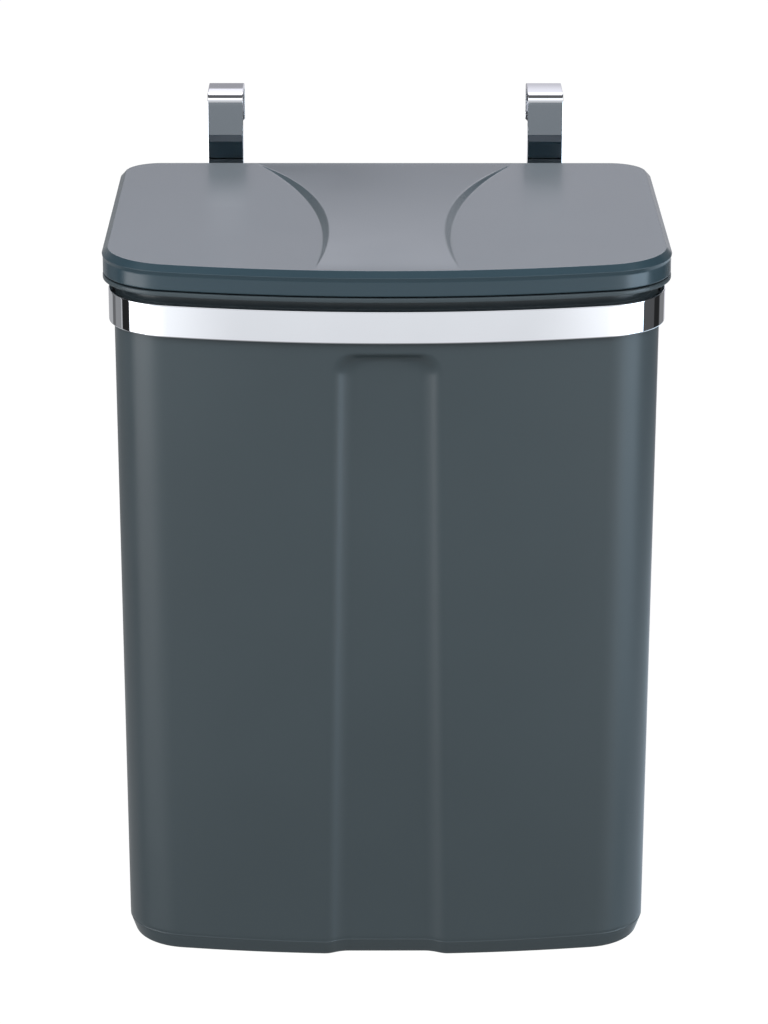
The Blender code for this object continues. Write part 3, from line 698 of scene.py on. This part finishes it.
def crescent_x(y):
    """How far from the middle the foot of the crown's side step lies."""
    return WAIST_HALF + WAIST_RADIUS - np.sqrt(WAIST_RADIUS**2 - (y - LID_FRONT - WAIST_SETBACK) ** 2)


def crown_height(x, y):
    front = LID_FRONT + CROWN_FRONT_SETBACK
    rear = LID_REAR - CROWN_REAR_SETBACK
    half = (rear - front) / 2
    radius = (half**2 + CROWN_HEIGHT**2) / (2 * CROWN_HEIGHT)
    bow = CROWN_HEIGHT - radius + np.sqrt(radius**2 - (y - (rear + front) / 2) ** 2)
    away = np.hypot(WAIST_HALF + WAIST_RADIUS - np.abs(x), y - LID_FRONT - WAIST_SETBACK) - WAIST_RADIUS
    step = away * CROWN_HEIGHT / STEP_RUN
    return smooth_max(smooth_min(bow, step, CROWN_EDGE_SOFT), 0, CROWN_FOOT_SOFT)


def between(first, last, share):
    return first + (last - first) * share


def make_lid():
    # The top's columns follow the crescents: some at shares of the middle, then many across the side step
    middle_shares = (0.16, 0.32, 0.48, 0.64, 0.80)
    step_cuts = np.linspace(-0.0012, 0.0048, 37)[::-1]
    cuts = [("middle", share) for share in middle_shares] + [("step", cut) for cut in step_cuts]
    top_inset = LID_BEVEL_RUN + 0.0007

    def column(y, cut):
        """How far from the middle plane a column lies at a place along Y."""
        kind, value = cut
        if kind == "middle":
            return (crescent_x(y) - step_cuts[0]) * value
        return crescent_x(y) - value

    rounds = 20
    bow_x, back_x = [], []
    for cut in cuts:
        y = LID_FRONT
        for _ in range(rounds):
            x = column(y, cut)
            y = front_line(x, top_inset)
        bow_x.append(x * BOW_RADIUS / (BOW_RADIUS - top_inset))
        back_x.append(column(LID_REAR - top_inset, cut))
    outer_steps = 16
    bow_end = (LID_WIDTH / 2 - FRONT_CORNER) * BOW_RADIUS / (BOW_RADIUS - FRONT_CORNER)
    back_end = LID_WIDTH / 2 - REAR_CORNER
    bow_x += list(np.linspace(bow_x[-1], bow_end, outer_steps + 1)[1:-1])
    back_x += list(np.linspace(back_x[-1], back_end, outer_steps + 1)[1:-1])
    corner_steps = 28
    half_corner = corner_steps // 2
    side_steps = 44
    outline = Outline(bow_x, back_x, corner_steps, side_steps)
    middle = len(bow_x) + 1
    span = middle + half_corner
    rows = side_steps + 2 * (corner_steps - half_corner)

    lean = math.atan2(LID_BEVEL_DROP, LID_BEVEL_RUN)
    inner_drop = LID_BEVEL_DROP + LID_WALL * math.tan((math.pi / 2 - lean) / 2)
    inner_run = LID_BEVEL_RUN + LID_WALL * math.tan(lean / 2)
    shoulder = LID_TOP - LID_BEVEL_DROP
    support = 0.0002
    outside = rounded(
        [
            (top_inset + 0.0008, LID_TOP),
            (LID_BEVEL_RUN, LID_TOP, *BEVEL_ROUND),
            (0, shoulder + BEVEL_LIFT, *BEVEL_FOOT_ROUND),
            (GROOVE_DEPTH, shoulder - GROOVE_DROP, *GROOVE_ROUND),
            (SKIRT_LEAN, LID_FOOT, *FINE_ROUND),
            (LID_WALL, LID_FOOT, *FINE_ROUND),
            (LID_WALL, LID_TOP - inner_drop, *SMALL_ROUND),
            (inner_run, LID_TOP - LID_WALL, *SMALL_ROUND),
            (inner_run + 0.001, LID_TOP - LID_WALL),
        ],
        support,
    )
    skin = Skin()
    rings = skin.tube(list(heights(outline, outside[1:-1])))

    def fill(ring, height, raised):
        """Fills a ring with a grid of faces. The right half is worked out, and the left half mirrors it."""
        total = len(ring)
        where = np.array([skin.points[index][:2] for index in ring])
        front = [(middle + step) % total for step in range(span + 1)]
        right = [(front[-1] + step) % total for step in range(rows + 1)]
        back = [(right[-1] + step) % total for step in range(span + 1)][::-1]
        rise = where[right][:, 1]
        shares = (rise - rise[0]) / (rise[-1] - rise[0])
        edge_front, edge_back = where[front[len(cuts)]], where[back[len(cuts)]]
        side_front, side_back = where[right[0]], where[right[-1]]

        def mirrored(places):
            """The ring's points at some places, without the first, as they lie on the left."""
            return [ring[(2 * middle - index) % total] for index in places[:0:-1]]

        def inside(step, row):
            """A place some columns from the middle. Past the crescents' columns it blends the edges."""
            share = shares[row]
            start, end = where[front[step]], where[back[step]]
            y = between(start[1], end[1], share)
            if step <= len(cuts):
                return column(y, cuts[step - 1]) if step else 0, y
            edge_y = between(edge_front[1], edge_back[1], share)
            edge = np.array([column(edge_y, cuts[-1]), edge_y])
            front_part = (start[0] - edge_front[0]) / (side_front[0] - edge_front[0])
            back_part = (end[0] - edge_back[0]) / (side_back[0] - edge_back[0])
            point = between(edge, where[right[row]], between(front_part, back_part, share))
            point = point + (1 - share) * (start - between(edge_front, side_front, front_part))
            return point + share * (end - between(edge_back, side_back, back_part))

        grid = [mirrored(front) + [ring[index] for index in front]]
        for row in range(1, rows):
            half = [inside(step, row) for step in range(span)]
            line = mirrored([middle, right[row]])
            for x, y in [(-x, y) for x, y in half[:0:-1]] + half:
                lift = float(crown_height(x, y)) if raised else 0
                line.append(len(skin.points))
                skin.points.append((x, y, height + lift))
            grid.append(line + [ring[right[row]]])
        grid.append(mirrored(back) + [ring[index] for index in back])
        for lower, upper in zip(grid, grid[1:]):
            skin.join(lower, upper, closed=False)

    fill(rings[0], LID_TOP, True)
    fill(rings[-1], LID_TOP - LID_WALL, False)
    skin.object("lid_shell", "lid", lid_plastic, ["lid"])

    high = LID_TOP - LID_WALL + RIB_OVERRUN
    locator = rounded(
        [
            (LOCATOR_INSET, high),
            (LOCATOR_INSET, RIM_TOP - LOCATOR_REACH, *FINE_ROUND),
            (LOCATOR_INSET + LOCATOR_WALL, RIM_TOP - LOCATOR_REACH, *FINE_ROUND),
            (LOCATOR_INSET + LOCATOR_WALL, high),
        ],
        support,
    )
    plain = Outline(np.arange(0.006, 0.085, 0.006), np.arange(0.01, 0.093, 0.01), 20, 14)
    inner = Skin()
    inner.tube(list(heights(plain, locator)), closed=True)
    inner.object("lid_locator", "lid", lid_plastic)

    half = STOP_RIB_THICK / 2
    low = LID_FOOT + STOP_RIB_LIFT
    near = LID_WALL - RIB_OVERRUN
    far = LOCATOR_INSET + RIB_OVERRUN
    boxes = []
    for _, sign in SIDES:
        x = sign * STOP_RIB_SPREAD
        near_y, far_y = float(front_line(x, near)), float(front_line(x, far))
        boxes.append(((x - half, near_y, low), (x + half, far_y, high)))
        boxes.append(((x - half, LID_REAR - far, low), (x + half, LID_REAR - near, high)))
    boxes += side_ribs(LID_WIDTH / 2 - far, LID_WIDTH / 2 - near, half, low, high)
    soft_boxes("lid_stop_ribs", "lid", lid_plastic, boxes, RIB_EDGE)
    reach = LID_REAR - KNUCKLE_OVERRUN
    for side, sign in SIDES:
        start = sign * HINGE_SPACING / 2 - KNUCKLE_WIDTH / 2
        holed_lug("lid_knuckle_" + side, "lid", lid_plastic, start, KNUCKLE_WIDTH, reach, False)


# The carrier, its rivets and pins, and the rubber pieces


def strip_section(half_wide, half_thick, edge, steps=4):
    """A flat bar's section with rounded edges, as (along the width, through the thickness).

    Support points beside the rounded edges keep the flats flat where the shading is smooth.
    """
    points = []
    support = edge / 2
    for across, through, start in ((1, 1, 0), (-1, 1, 90), (-1, -1, 180), (1, -1, 270)):
        centre = (across * (half_wide - edge), through * (half_thick - edge))
        points += list(arc(centre, edge, start, start + 90, steps))
        if start in (0, 180):
            flat = half_wide - edge - support
            run = [(across * flat, through * half_thick), (-across * flat, through * half_thick)]
        else:
            flat = max(half_thick - edge - support, 0)
            run = [(across * half_wide, through * flat), (across * half_wide, -through * flat)]
        points += [np.array(point) for point in run]
    return np.array(points)


def swept_bar(skin, path, sideways, half_wide, closed=False):
    """A strip swept along a path, with its width along one direction. half_wide may change on the way."""
    side = np.array(sideways, float)
    wides = np.broadcast_to(half_wide, (len(path),))
    edge = STRIP_EDGE
    trim = edge * 0.7

    def ring(index, along, shrink, rounding):
        out = np.cross(along / np.linalg.norm(along), side)
        out /= np.linalg.norm(out)
        section = strip_section(wides[index] - shrink, STRIP_THICK / 2 - shrink, rounding)
        return path[index] + section[:, :1] * side + section[:, 1:] * out

    around = [path[-1], *path, path[0]] if closed else [path[0], *path, path[-1]]
    rings = [ring(index, around[index + 2] - around[index], 0, edge) for index in range(len(path))]
    if closed:
        skin.tube(rings, closed=True)
        return
    ends = []
    for index, along, inward in ((0, path[1] - path[0], 1), (-1, path[-1] - path[-2], -1)):
        ends.append(ring(index, along, trim, edge * 0.3))
        rings[index] = rings[index] + inward * along / np.linalg.norm(along) * trim
    skin.solid([ends[0]] + rings + [ends[1]])


def bent(corners, radius, steps=18, spacing=0.004):
    """A path through corners that are rounded to a radius, with points along its straight runs."""
    corners = [np.array(corner, float) for corner in corners]
    path = [corners[0]]

    def run(end):
        start = path[-1]
        cuts = max(int(np.linalg.norm(end - start) / spacing), 1)
        path.extend([start + (end - start) * cut / cuts for cut in range(1, cuts + 1)])

    for before, corner, after in zip(corners, corners[1:], corners[2:]):
        back, _, reach, points = corner_arc(before, corner, after, radius, steps)
        run(corner + back * reach)
        path.extend(points[1:])
    run(corners[-1])
    return np.array(path)


def turned(name, body, look, profile, middle, axis, node, steps=40):
    """A profile of (radius, place along the axis) turned about it."""
    turn = Vector((0, 0, 1)).rotation_difference(Vector(axis))
    skin = Skin()
    angles = np.linspace(0, 2 * math.pi, steps, endpoint=False)
    rings = []
    for radius, height in profile:
        ring = [Vector((radius * math.cos(a), radius * math.sin(a), height)) for a in angles]
        rings.append([tuple(Vector(middle) + turn @ point) for point in ring])
    made = skin.tube(rings[1:-1])
    for end, ring in ((profile[0], made[0]), (profile[-1], made[-1])):
        tip = len(skin.points)
        skin.points.append(tuple(Vector(middle) + turn @ Vector((0, 0, end[1]))))
        for step in range(len(ring)):
            skin.faces.append((ring[step - 1], ring[step], tip))
    skin.object(name, body, look, [node])


def make_carrier():
    half = STRIP_THICK / 2
    centre_inset = STRIP_INSET + half
    band_plan = Outline(
        np.arange(0.003, 0.085, 0.003),
        np.arange(0.006, 0.098, 0.006),
        36,
        16,
        rear=BAND_REAR - half + centre_inset,
        rear_corner=BAND_REAR_CORNER - half + centre_inset,
    )
    loop = band_plan.at(centre_inset)
    path = np.column_stack([loop, np.full(len(loop), BAND_MIDDLE)])
    skin = Skin()
    swept_bar(skin, path, (0, 0, 1), BAND_HEIGHT / 2, closed=True)
    skin.object("band", "carrier", chrome, ["carrier_band"])

    side = LID_WIDTH / 2 - STRIP_INSET - STRIP_THICK - SEAT - half
    stay_y = LID_REAR - WALL_INSET + BAND_CLEARANCE + half
    end_y = stay_y + STAY_END
    corners = [(-side, end_y), (-side, stay_y), (side, stay_y), (side, end_y)]
    path = bent([(x, y, BAND_MIDDLE) for x, y in corners], STAY_BEND - half)
    skin = Skin()
    swept_bar(skin, path, (0, 0, 1), BAND_HEIGHT / 2)
    skin.object("stay", "carrier", chrome, ["rear_stay"])

    shank_radius = 0.0015
    lip_run, lip_rise = 0.0001, 0.00016
    grip = 2 * STRIP_THICK + SEAT
    dome = (RIVET_HEAD_DIAMETER**2 / 4 + RIVET_HEAD**2) / (2 * RIVET_HEAD)
    reach = math.degrees(math.asin(RIVET_HEAD_DIAMETER / 2 / dome))
    half_grip = grip / 2 + SEAT
    head = arc((0, half_grip + RIVET_HEAD - dome), dome, 90, 90 - reach, 8)
    head[0][0] = 0
    upper = [tuple(step) for step in head[:-1]]
    rivet_radius = RIVET_HEAD_DIAMETER / 2
    upper += [(rivet_radius - lip_run, half_grip + lip_rise), (rivet_radius, half_grip)]
    upper += [(shank_radius, half_grip - SEAT)]
    rivet_profile = upper + [(radius, -height) for radius, height in reversed(upper)]
    band_side = LID_WIDTH / 2 - STRIP_INSET
    rivet_y = end_y - STAY_END / 3
    for name, sign in SIDES:
        middle = (sign * (band_side - grip / 2), rivet_y, BAND_MIDDLE)
        node = "stay_rivet_" + name
        turned("rivet_stay_" + name, "carrier", steel, rivet_profile, middle, (1, 0, 0), node)
        x = sign * HOOK_SPACING / 2
        make_hook(name, x)
        make_pad(name, x)
        for shift, end in ((-sign, "_inner"), (sign, "_outer")):
            middle = (x + shift * RIVET_SPREAD / 2, STRAP_REAR - grip / 2, BAND_MIDDLE)
            node = "hook_rivet_" + name + end
            turned("rivet_" + name + end, "carrier", steel, rivet_profile, middle, (0, 1, 0), node)

    head_radius = PIN_HEAD_DIAMETER / 2
    radius = PIN_DIAMETER / 2
    seat = EAR_OUT + SEAT
    top = seat + PIN_HEAD
    pin_profile = [
        (0, top),
        (head_radius - 0.0007, top),
        (head_radius - 0.0004, top - 0.00008),
        (head_radius - 0.00015, top - 0.00025),
        (head_radius, top - 0.0005),
        (head_radius, seat + lip_run),
        (head_radius - lip_run, seat),
        (radius, seat),
        (radius, -EAR_OUT - PIN_PROUD / 2),
        (radius - PIN_PROUD / 4, -EAR_OUT - PIN_PROUD * 0.85),
        (radius - PIN_PROUD / 2, -EAR_OUT - PIN_PROUD),
        (0, -EAR_OUT - PIN_PROUD),
    ]
    for name, sign in SIDES:
        middle = (sign * HINGE_SPACING / 2, HINGE.y, HINGE.z)
        turned("pin_" + name, "bin", steel, pin_profile, middle, (sign, 0, 0), "hinge_pin_" + name)

    low = RIM_TOP - BUFFER_POCKET + SEAT
    high = LID_FOOT + STOP_RIB_LIFT - SEAT
    buffer_middle = (LID_WALL + MOUTH_INSET) / 2
    edge = (high - low) / 4
    round_edge = arc((BUFFER_DIAMETER / 2 - edge, high - edge), edge, 90, 0, 5)
    buffer_profile = [(0, high), *round_edge, (BUFFER_DIAMETER / 2, low), (0, low)]
    for name, sign in SIDES:
        x = sign * STOP_RIB_SPREAD
        middle = (x, float(front_line(x, buffer_middle)), 0)
        turned("buffer_" + name, "bin", soft_rubber, buffer_profile, middle, (0, 0, 1), "lid_buffer_" + name)


def make_hook(name, x):
    half = STRIP_THICK / 2
    leg = DOOR_GAP / 2 + half
    corners = [(-leg, BAND_FOOT), (-leg, half), (leg, half), (leg, STRIP_THICK - HOOK_LEG)]
    path = bent([(x, y, z) for y, z in corners], HOOK_BEND - half, spacing=0.0015)
    flat = leg - HOOK_BEND + half
    on_plate = np.abs(path[:, 1]) < flat
    path[:, 2] += np.where(on_plate, HOOK_CROWN * (1 - (path[:, 1] / flat) ** 2), 0)
    path = np.append(path, [(x, leg, STRIP_THICK - HOOK_LEG + HOOK_CORNER)], axis=0)

    # The point just added sorts into its place among the last ones, and the leg's end narrows from there
    tail = 8
    path[-tail:] = path[-tail:][np.argsort(-path[-tail:, 2], kind="stable")]
    above_end = path[-tail:, 2] - path[-1, 2]
    half_wide = np.full(len(path), STRAP_WIDTH / 2)
    half_wide[-tail:] -= np.maximum(HOOK_CORNER - above_end, 0)
    skin = Skin()
    swept_bar(skin, path, (1, 0, 0), half_wide)
    skin.object("strap_" + name, "carrier", chrome, ["hook_" + name])


def make_pad(name, x):
    def depth(edge):
        return abs(edge.verts[0].co.y - edge.verts[1].co.y)

    shape = bmesh.new()
    half = PAD_WIDTH / 2
    rear = STRAP_REAR + SEAT
    block(shape, (x - half, rear, BAND_TOP), (x + half, rear + PAD_THICK, BAND_TOP + PAD_HEIGHT))
    soften(shape, [edge for edge in shape.edges if depth(edge) > PAD_THICK / 2], PAD_CORNER, 8)
    soften(shape, [edge for edge in shape.edges if depth(edge) < PAD_THICK / 4], PAD_EDGE)
    keep(shape, bpy.data.meshes.new("pad_" + name), "carrier", soft_rubber, ["door_pad_" + name])


make_bin()
make_lid()
make_carrier()

# The studio


class Sky:
    """World nodes: what glossy rays see is a studio of soft boxes, and all else is a plain level."""

    def __init__(self):
        world = bpy.data.worlds.new("studio")
        bpy.context.scene.world = world
        world.use_nodes = True
        self.tree = world.node_tree
        self.tree.nodes.clear()
        where = add_node(self.tree, "ShaderNodeTexCoord").outputs["Generated"]
        self.x, self.y, self.z = add_node(self.tree, "ShaderNodeSeparateXYZ", {"Vector": where}).outputs
        to_degrees = 180 / math.pi
        turn = self.math("ARCTAN2", self.x, self.math("MULTIPLY", self.y, -1))
        self.azimuth = self.math("MULTIPLY", turn, to_degrees)
        self.height = self.math("MULTIPLY", self.math("ARCSINE", self.z), to_degrees)

    def math(self, operation, *values):
        node = add_node(self.tree, "ShaderNodeMath", enumerate(values))
        node.operation = operation
        return node.outputs[0]

    def step(self, value, at, feather):
        values = {"Value": value, "From Min": at - feather, "From Max": at + feather}
        node = add_node(self.tree, "ShaderNodeMapRange", values)
        node.interpolation_type = "SMOOTHSTEP"
        return node.outputs["Result"]

    def window(self, value, ends):
        """One between two ends and zero outside, each end given with its feather."""
        (low, low_feather), (high, high_feather) = ends
        fall = self.math("SUBTRACT", 1, self.step(value, high, high_feather))
        return self.math("MULTIPLY", self.step(value, low, low_feather), fall)

    def box(self, level, azimuth, height):
        """A soft box: its brightness between two azimuths and two heights, in degrees, with feathers."""
        inside = self.math("MULTIPLY", self.window(self.azimuth, azimuth), self.window(self.height, height))
        return self.math("MULTIPLY", inside, level)

    def total(self, parts):
        made = parts[0]
        for part in parts[1:]:
            made = self.math("ADD", made, part)
        return made

    def glow(self, tint, strength):
        values = {"Color": tint + (1,), "Strength": strength}
        return add_node(self.tree, "ShaderNodeBackground", values).outputs["Background"]

    def join(self, kind, *parts):
        """Adds two lights, or picks one of them by a factor that comes first."""
        return add_node(self.tree, kind, enumerate(parts)).outputs["Shader"]


def make_world():
    """Soft boxes round a table. Each has a level, two azimuths and two heights, and these have feathers."""
    sky = Sky()
    all_round = ((-200, 1), (200, 1))
    ahead = ((-58, 5), (58, 5))
    left_side = ((-89, 1.5), (-53, 9))
    table = ((-22, 8), (-12, 2.5))
    beside = ((-16.5, 3), (-3, 4))
    upper = ((-3, 4), (50, 6))
    rear = ((-19, 3), (30, 8))
    rear_low = ((-34, 6), (-19.5, 2))
    neutral = [
        (0.84, ahead, table),
        (0.60, ahead, ((-12, 2.5), (22, 3))),
        (1.45, ahead, ((22, 3), (50, 4))),
        (0.10, all_round, ((50, 4), (120, 1))),
        (0.34, all_round, ((-120, 1), (-31, 6))),
        (0.80, ((-58, 5), (-30, 13)), table),
        (0.80, ((30, 13), (58, 5)), table),
        (4.8, left_side, beside),
        (0.9, left_side, upper),
        (0.9, ((53, 9), (89, 1.5)), upper),
        (0.45, ((-110.5, 0.6), (-106.5, 0.6)), rear),
        (0.26, ((-127, 1.5), (-111, 1)), rear),
        (0.12, ((-137, 1.5), (-127, 1.5)), rear),
        (0.40, ((-168, 3), (-138, 2)), rear),
        (0.065, ((88, 1), (114, 1)), rear),
        (0.20, ((132, 3), (168, 3)), rear),
        (0.45, ((-172, 6), (-104, 6)), rear_low),
    ]
    right = ((158, 4), (190, 4))
    left = ((-190, 4), (-166, 3))
    top = (78, 3)
    back_wall = [
        (0.59, right, ((-24, 4), top)),
        (0.34, right, ((12.5, 3), top)),
        (1.20, right, ((19.5, 5), top)),
        (0.34, left, ((-24, 4), top)),
        (0.72, left, ((13.4, 0.6), top)),
        (1.20, left, ((19.5, 5), top)),
    ]
    bluish = [
        (5.0, ((52, 8), (87, 1)), beside),
        (0.90, ((89, 4), (168, 6)), rear_low),
    ]
    groups = [(neutral, (1.0, 1.0, 1.02)), (back_wall, (1.0, 0.98, 1.06)), (bluish, (0.90, 1.08, 1.25))]
    least_glow = 0.02
    plain_level, plain_fall = 0.30, -0.11
    studio = sky.glow((1, 1, 1), least_glow)
    for boxes, tint in groups:
        lights = sky.glow(tint, sky.total([sky.box(*box) for box in boxes]))
        studio = sky.join("ShaderNodeAddShader", studio, lights)
    path = add_node(sky.tree, "ShaderNodeLightPath").outputs
    fall = sky.math("MULTIPLY", sky.y, plain_fall)
    plain = sky.glow((0.98, 1.0, 1.02), sky.math("ADD", fall, plain_level))
    white = sky.glow((1, 1, 1), 1.0)
    lit = sky.join("ShaderNodeMixShader", path["Is Glossy Ray"], plain, studio)
    seen = sky.join("ShaderNodeMixShader", path["Is Camera Ray"], lit, white)
    add_node(sky.tree, "ShaderNodeOutputWorld", {"Surface": seen})


def make_floor():
    """A wide pale floor well below the bin. The camera sees it glow, with the object's soft shadow on it."""
    size = 14.0
    drop = 0.5
    paint_colour = (0.84, 0.86, 0.82, 1)
    glow_strength = 1.10
    glow_share = 0.9
    corners = [(-size, -size, 0), (size, -size, 0), (size, size, 0), (-size, size, 0)]
    mesh = bpy.data.meshes.new("floor")
    mesh.from_pydata(corners, [], [(0, 1, 2, 3)])
    floor = bpy.data.objects.new("floor", mesh)
    bpy.context.scene.collection.objects.link(floor)
    floor.location = (0, 0, BASE - drop)
    made = bpy.data.materials.new("floor_white")
    made.use_nodes = True
    tree = made.node_tree
    tree.nodes.clear()
    paint = add_node(tree, "ShaderNodeBsdfDiffuse", {"Color": paint_colour})
    light = add_node(tree, "ShaderNodeEmission", {"Color": (1, 1, 1, 1), "Strength": glow_strength})
    path = add_node(tree, "ShaderNodeLightPath")
    share = add_node(tree, "ShaderNodeMath", {0: path.outputs["Is Camera Ray"], 1: glow_share})
    share.operation = "MULTIPLY"
    parts = [node.outputs[0] for node in (share, paint, light)]
    blend = add_node(tree, "ShaderNodeMixShader", enumerate(parts))
    add_node(tree, "ShaderNodeOutputMaterial", {"Surface": blend.outputs[0]})
    mesh.materials.append(made)
    floor.visible_glossy = False


def make_lamp(name, place_at, aim, size, power):
    data = bpy.data.lights.new(name, "AREA")
    data.shape = "RECTANGLE"
    data.size, data.size_y = size
    data.energy = power
    lamp = bpy.data.objects.new(name, data)
    bpy.context.scene.collection.objects.link(lamp)
    lamp.location = place_at
    lamp.rotation_euler = (Vector(aim) - Vector(place_at)).to_track_quat("-Z", "Y").to_euler()
    lamp.visible_glossy = False
    lamp.visible_camera = False


def make_camera():
    """The photo's camera, solved from the edges of the lid and the bin."""
    sensor = 36
    focal_pixels, picture_pixels = 3807, 1024
    place = (-0.0068, -1.5923, 0.3588)
    pitch, yaw, roll = (math.radians(angle) for angle in (19.0, 0.233, 0.071))
    data = bpy.data.cameras.new("camera")
    data.sensor_fit = "VERTICAL"
    data.sensor_width = sensor
    data.sensor_height = sensor
    data.lens = sensor * focal_pixels / picture_pixels
    data.clip_start = 0.05
    data.clip_end = 60
    camera = bpy.data.objects.new("camera", data)
    bpy.context.scene.collection.objects.link(camera)
    forward = Vector((math.sin(yaw) * math.cos(pitch), math.cos(yaw) * math.cos(pitch), -math.sin(pitch)))
    turn = forward.to_track_quat("-Z", "Y").to_matrix() @ Matrix.Rotation(roll, 3, "Z")
    camera.matrix_world = Matrix.Translation(place) @ turn.to_4x4()
    bpy.context.scene.camera = camera


LAMP_AIM = (0, -0.12, -0.06)
LAMP_SIZE = (0.7, 0.7)
LAMP_POWER = 5.5

make_world()
make_floor()
for _, sign in SIDES:
    make_lamp("beside", (sign * 0.72, -0.72, 0.55), LAMP_AIM, LAMP_SIZE, LAMP_POWER)
make_camera()
bpy.context.scene.view_settings.view_transform = "Standard"

bpy.context.view_layer.update()
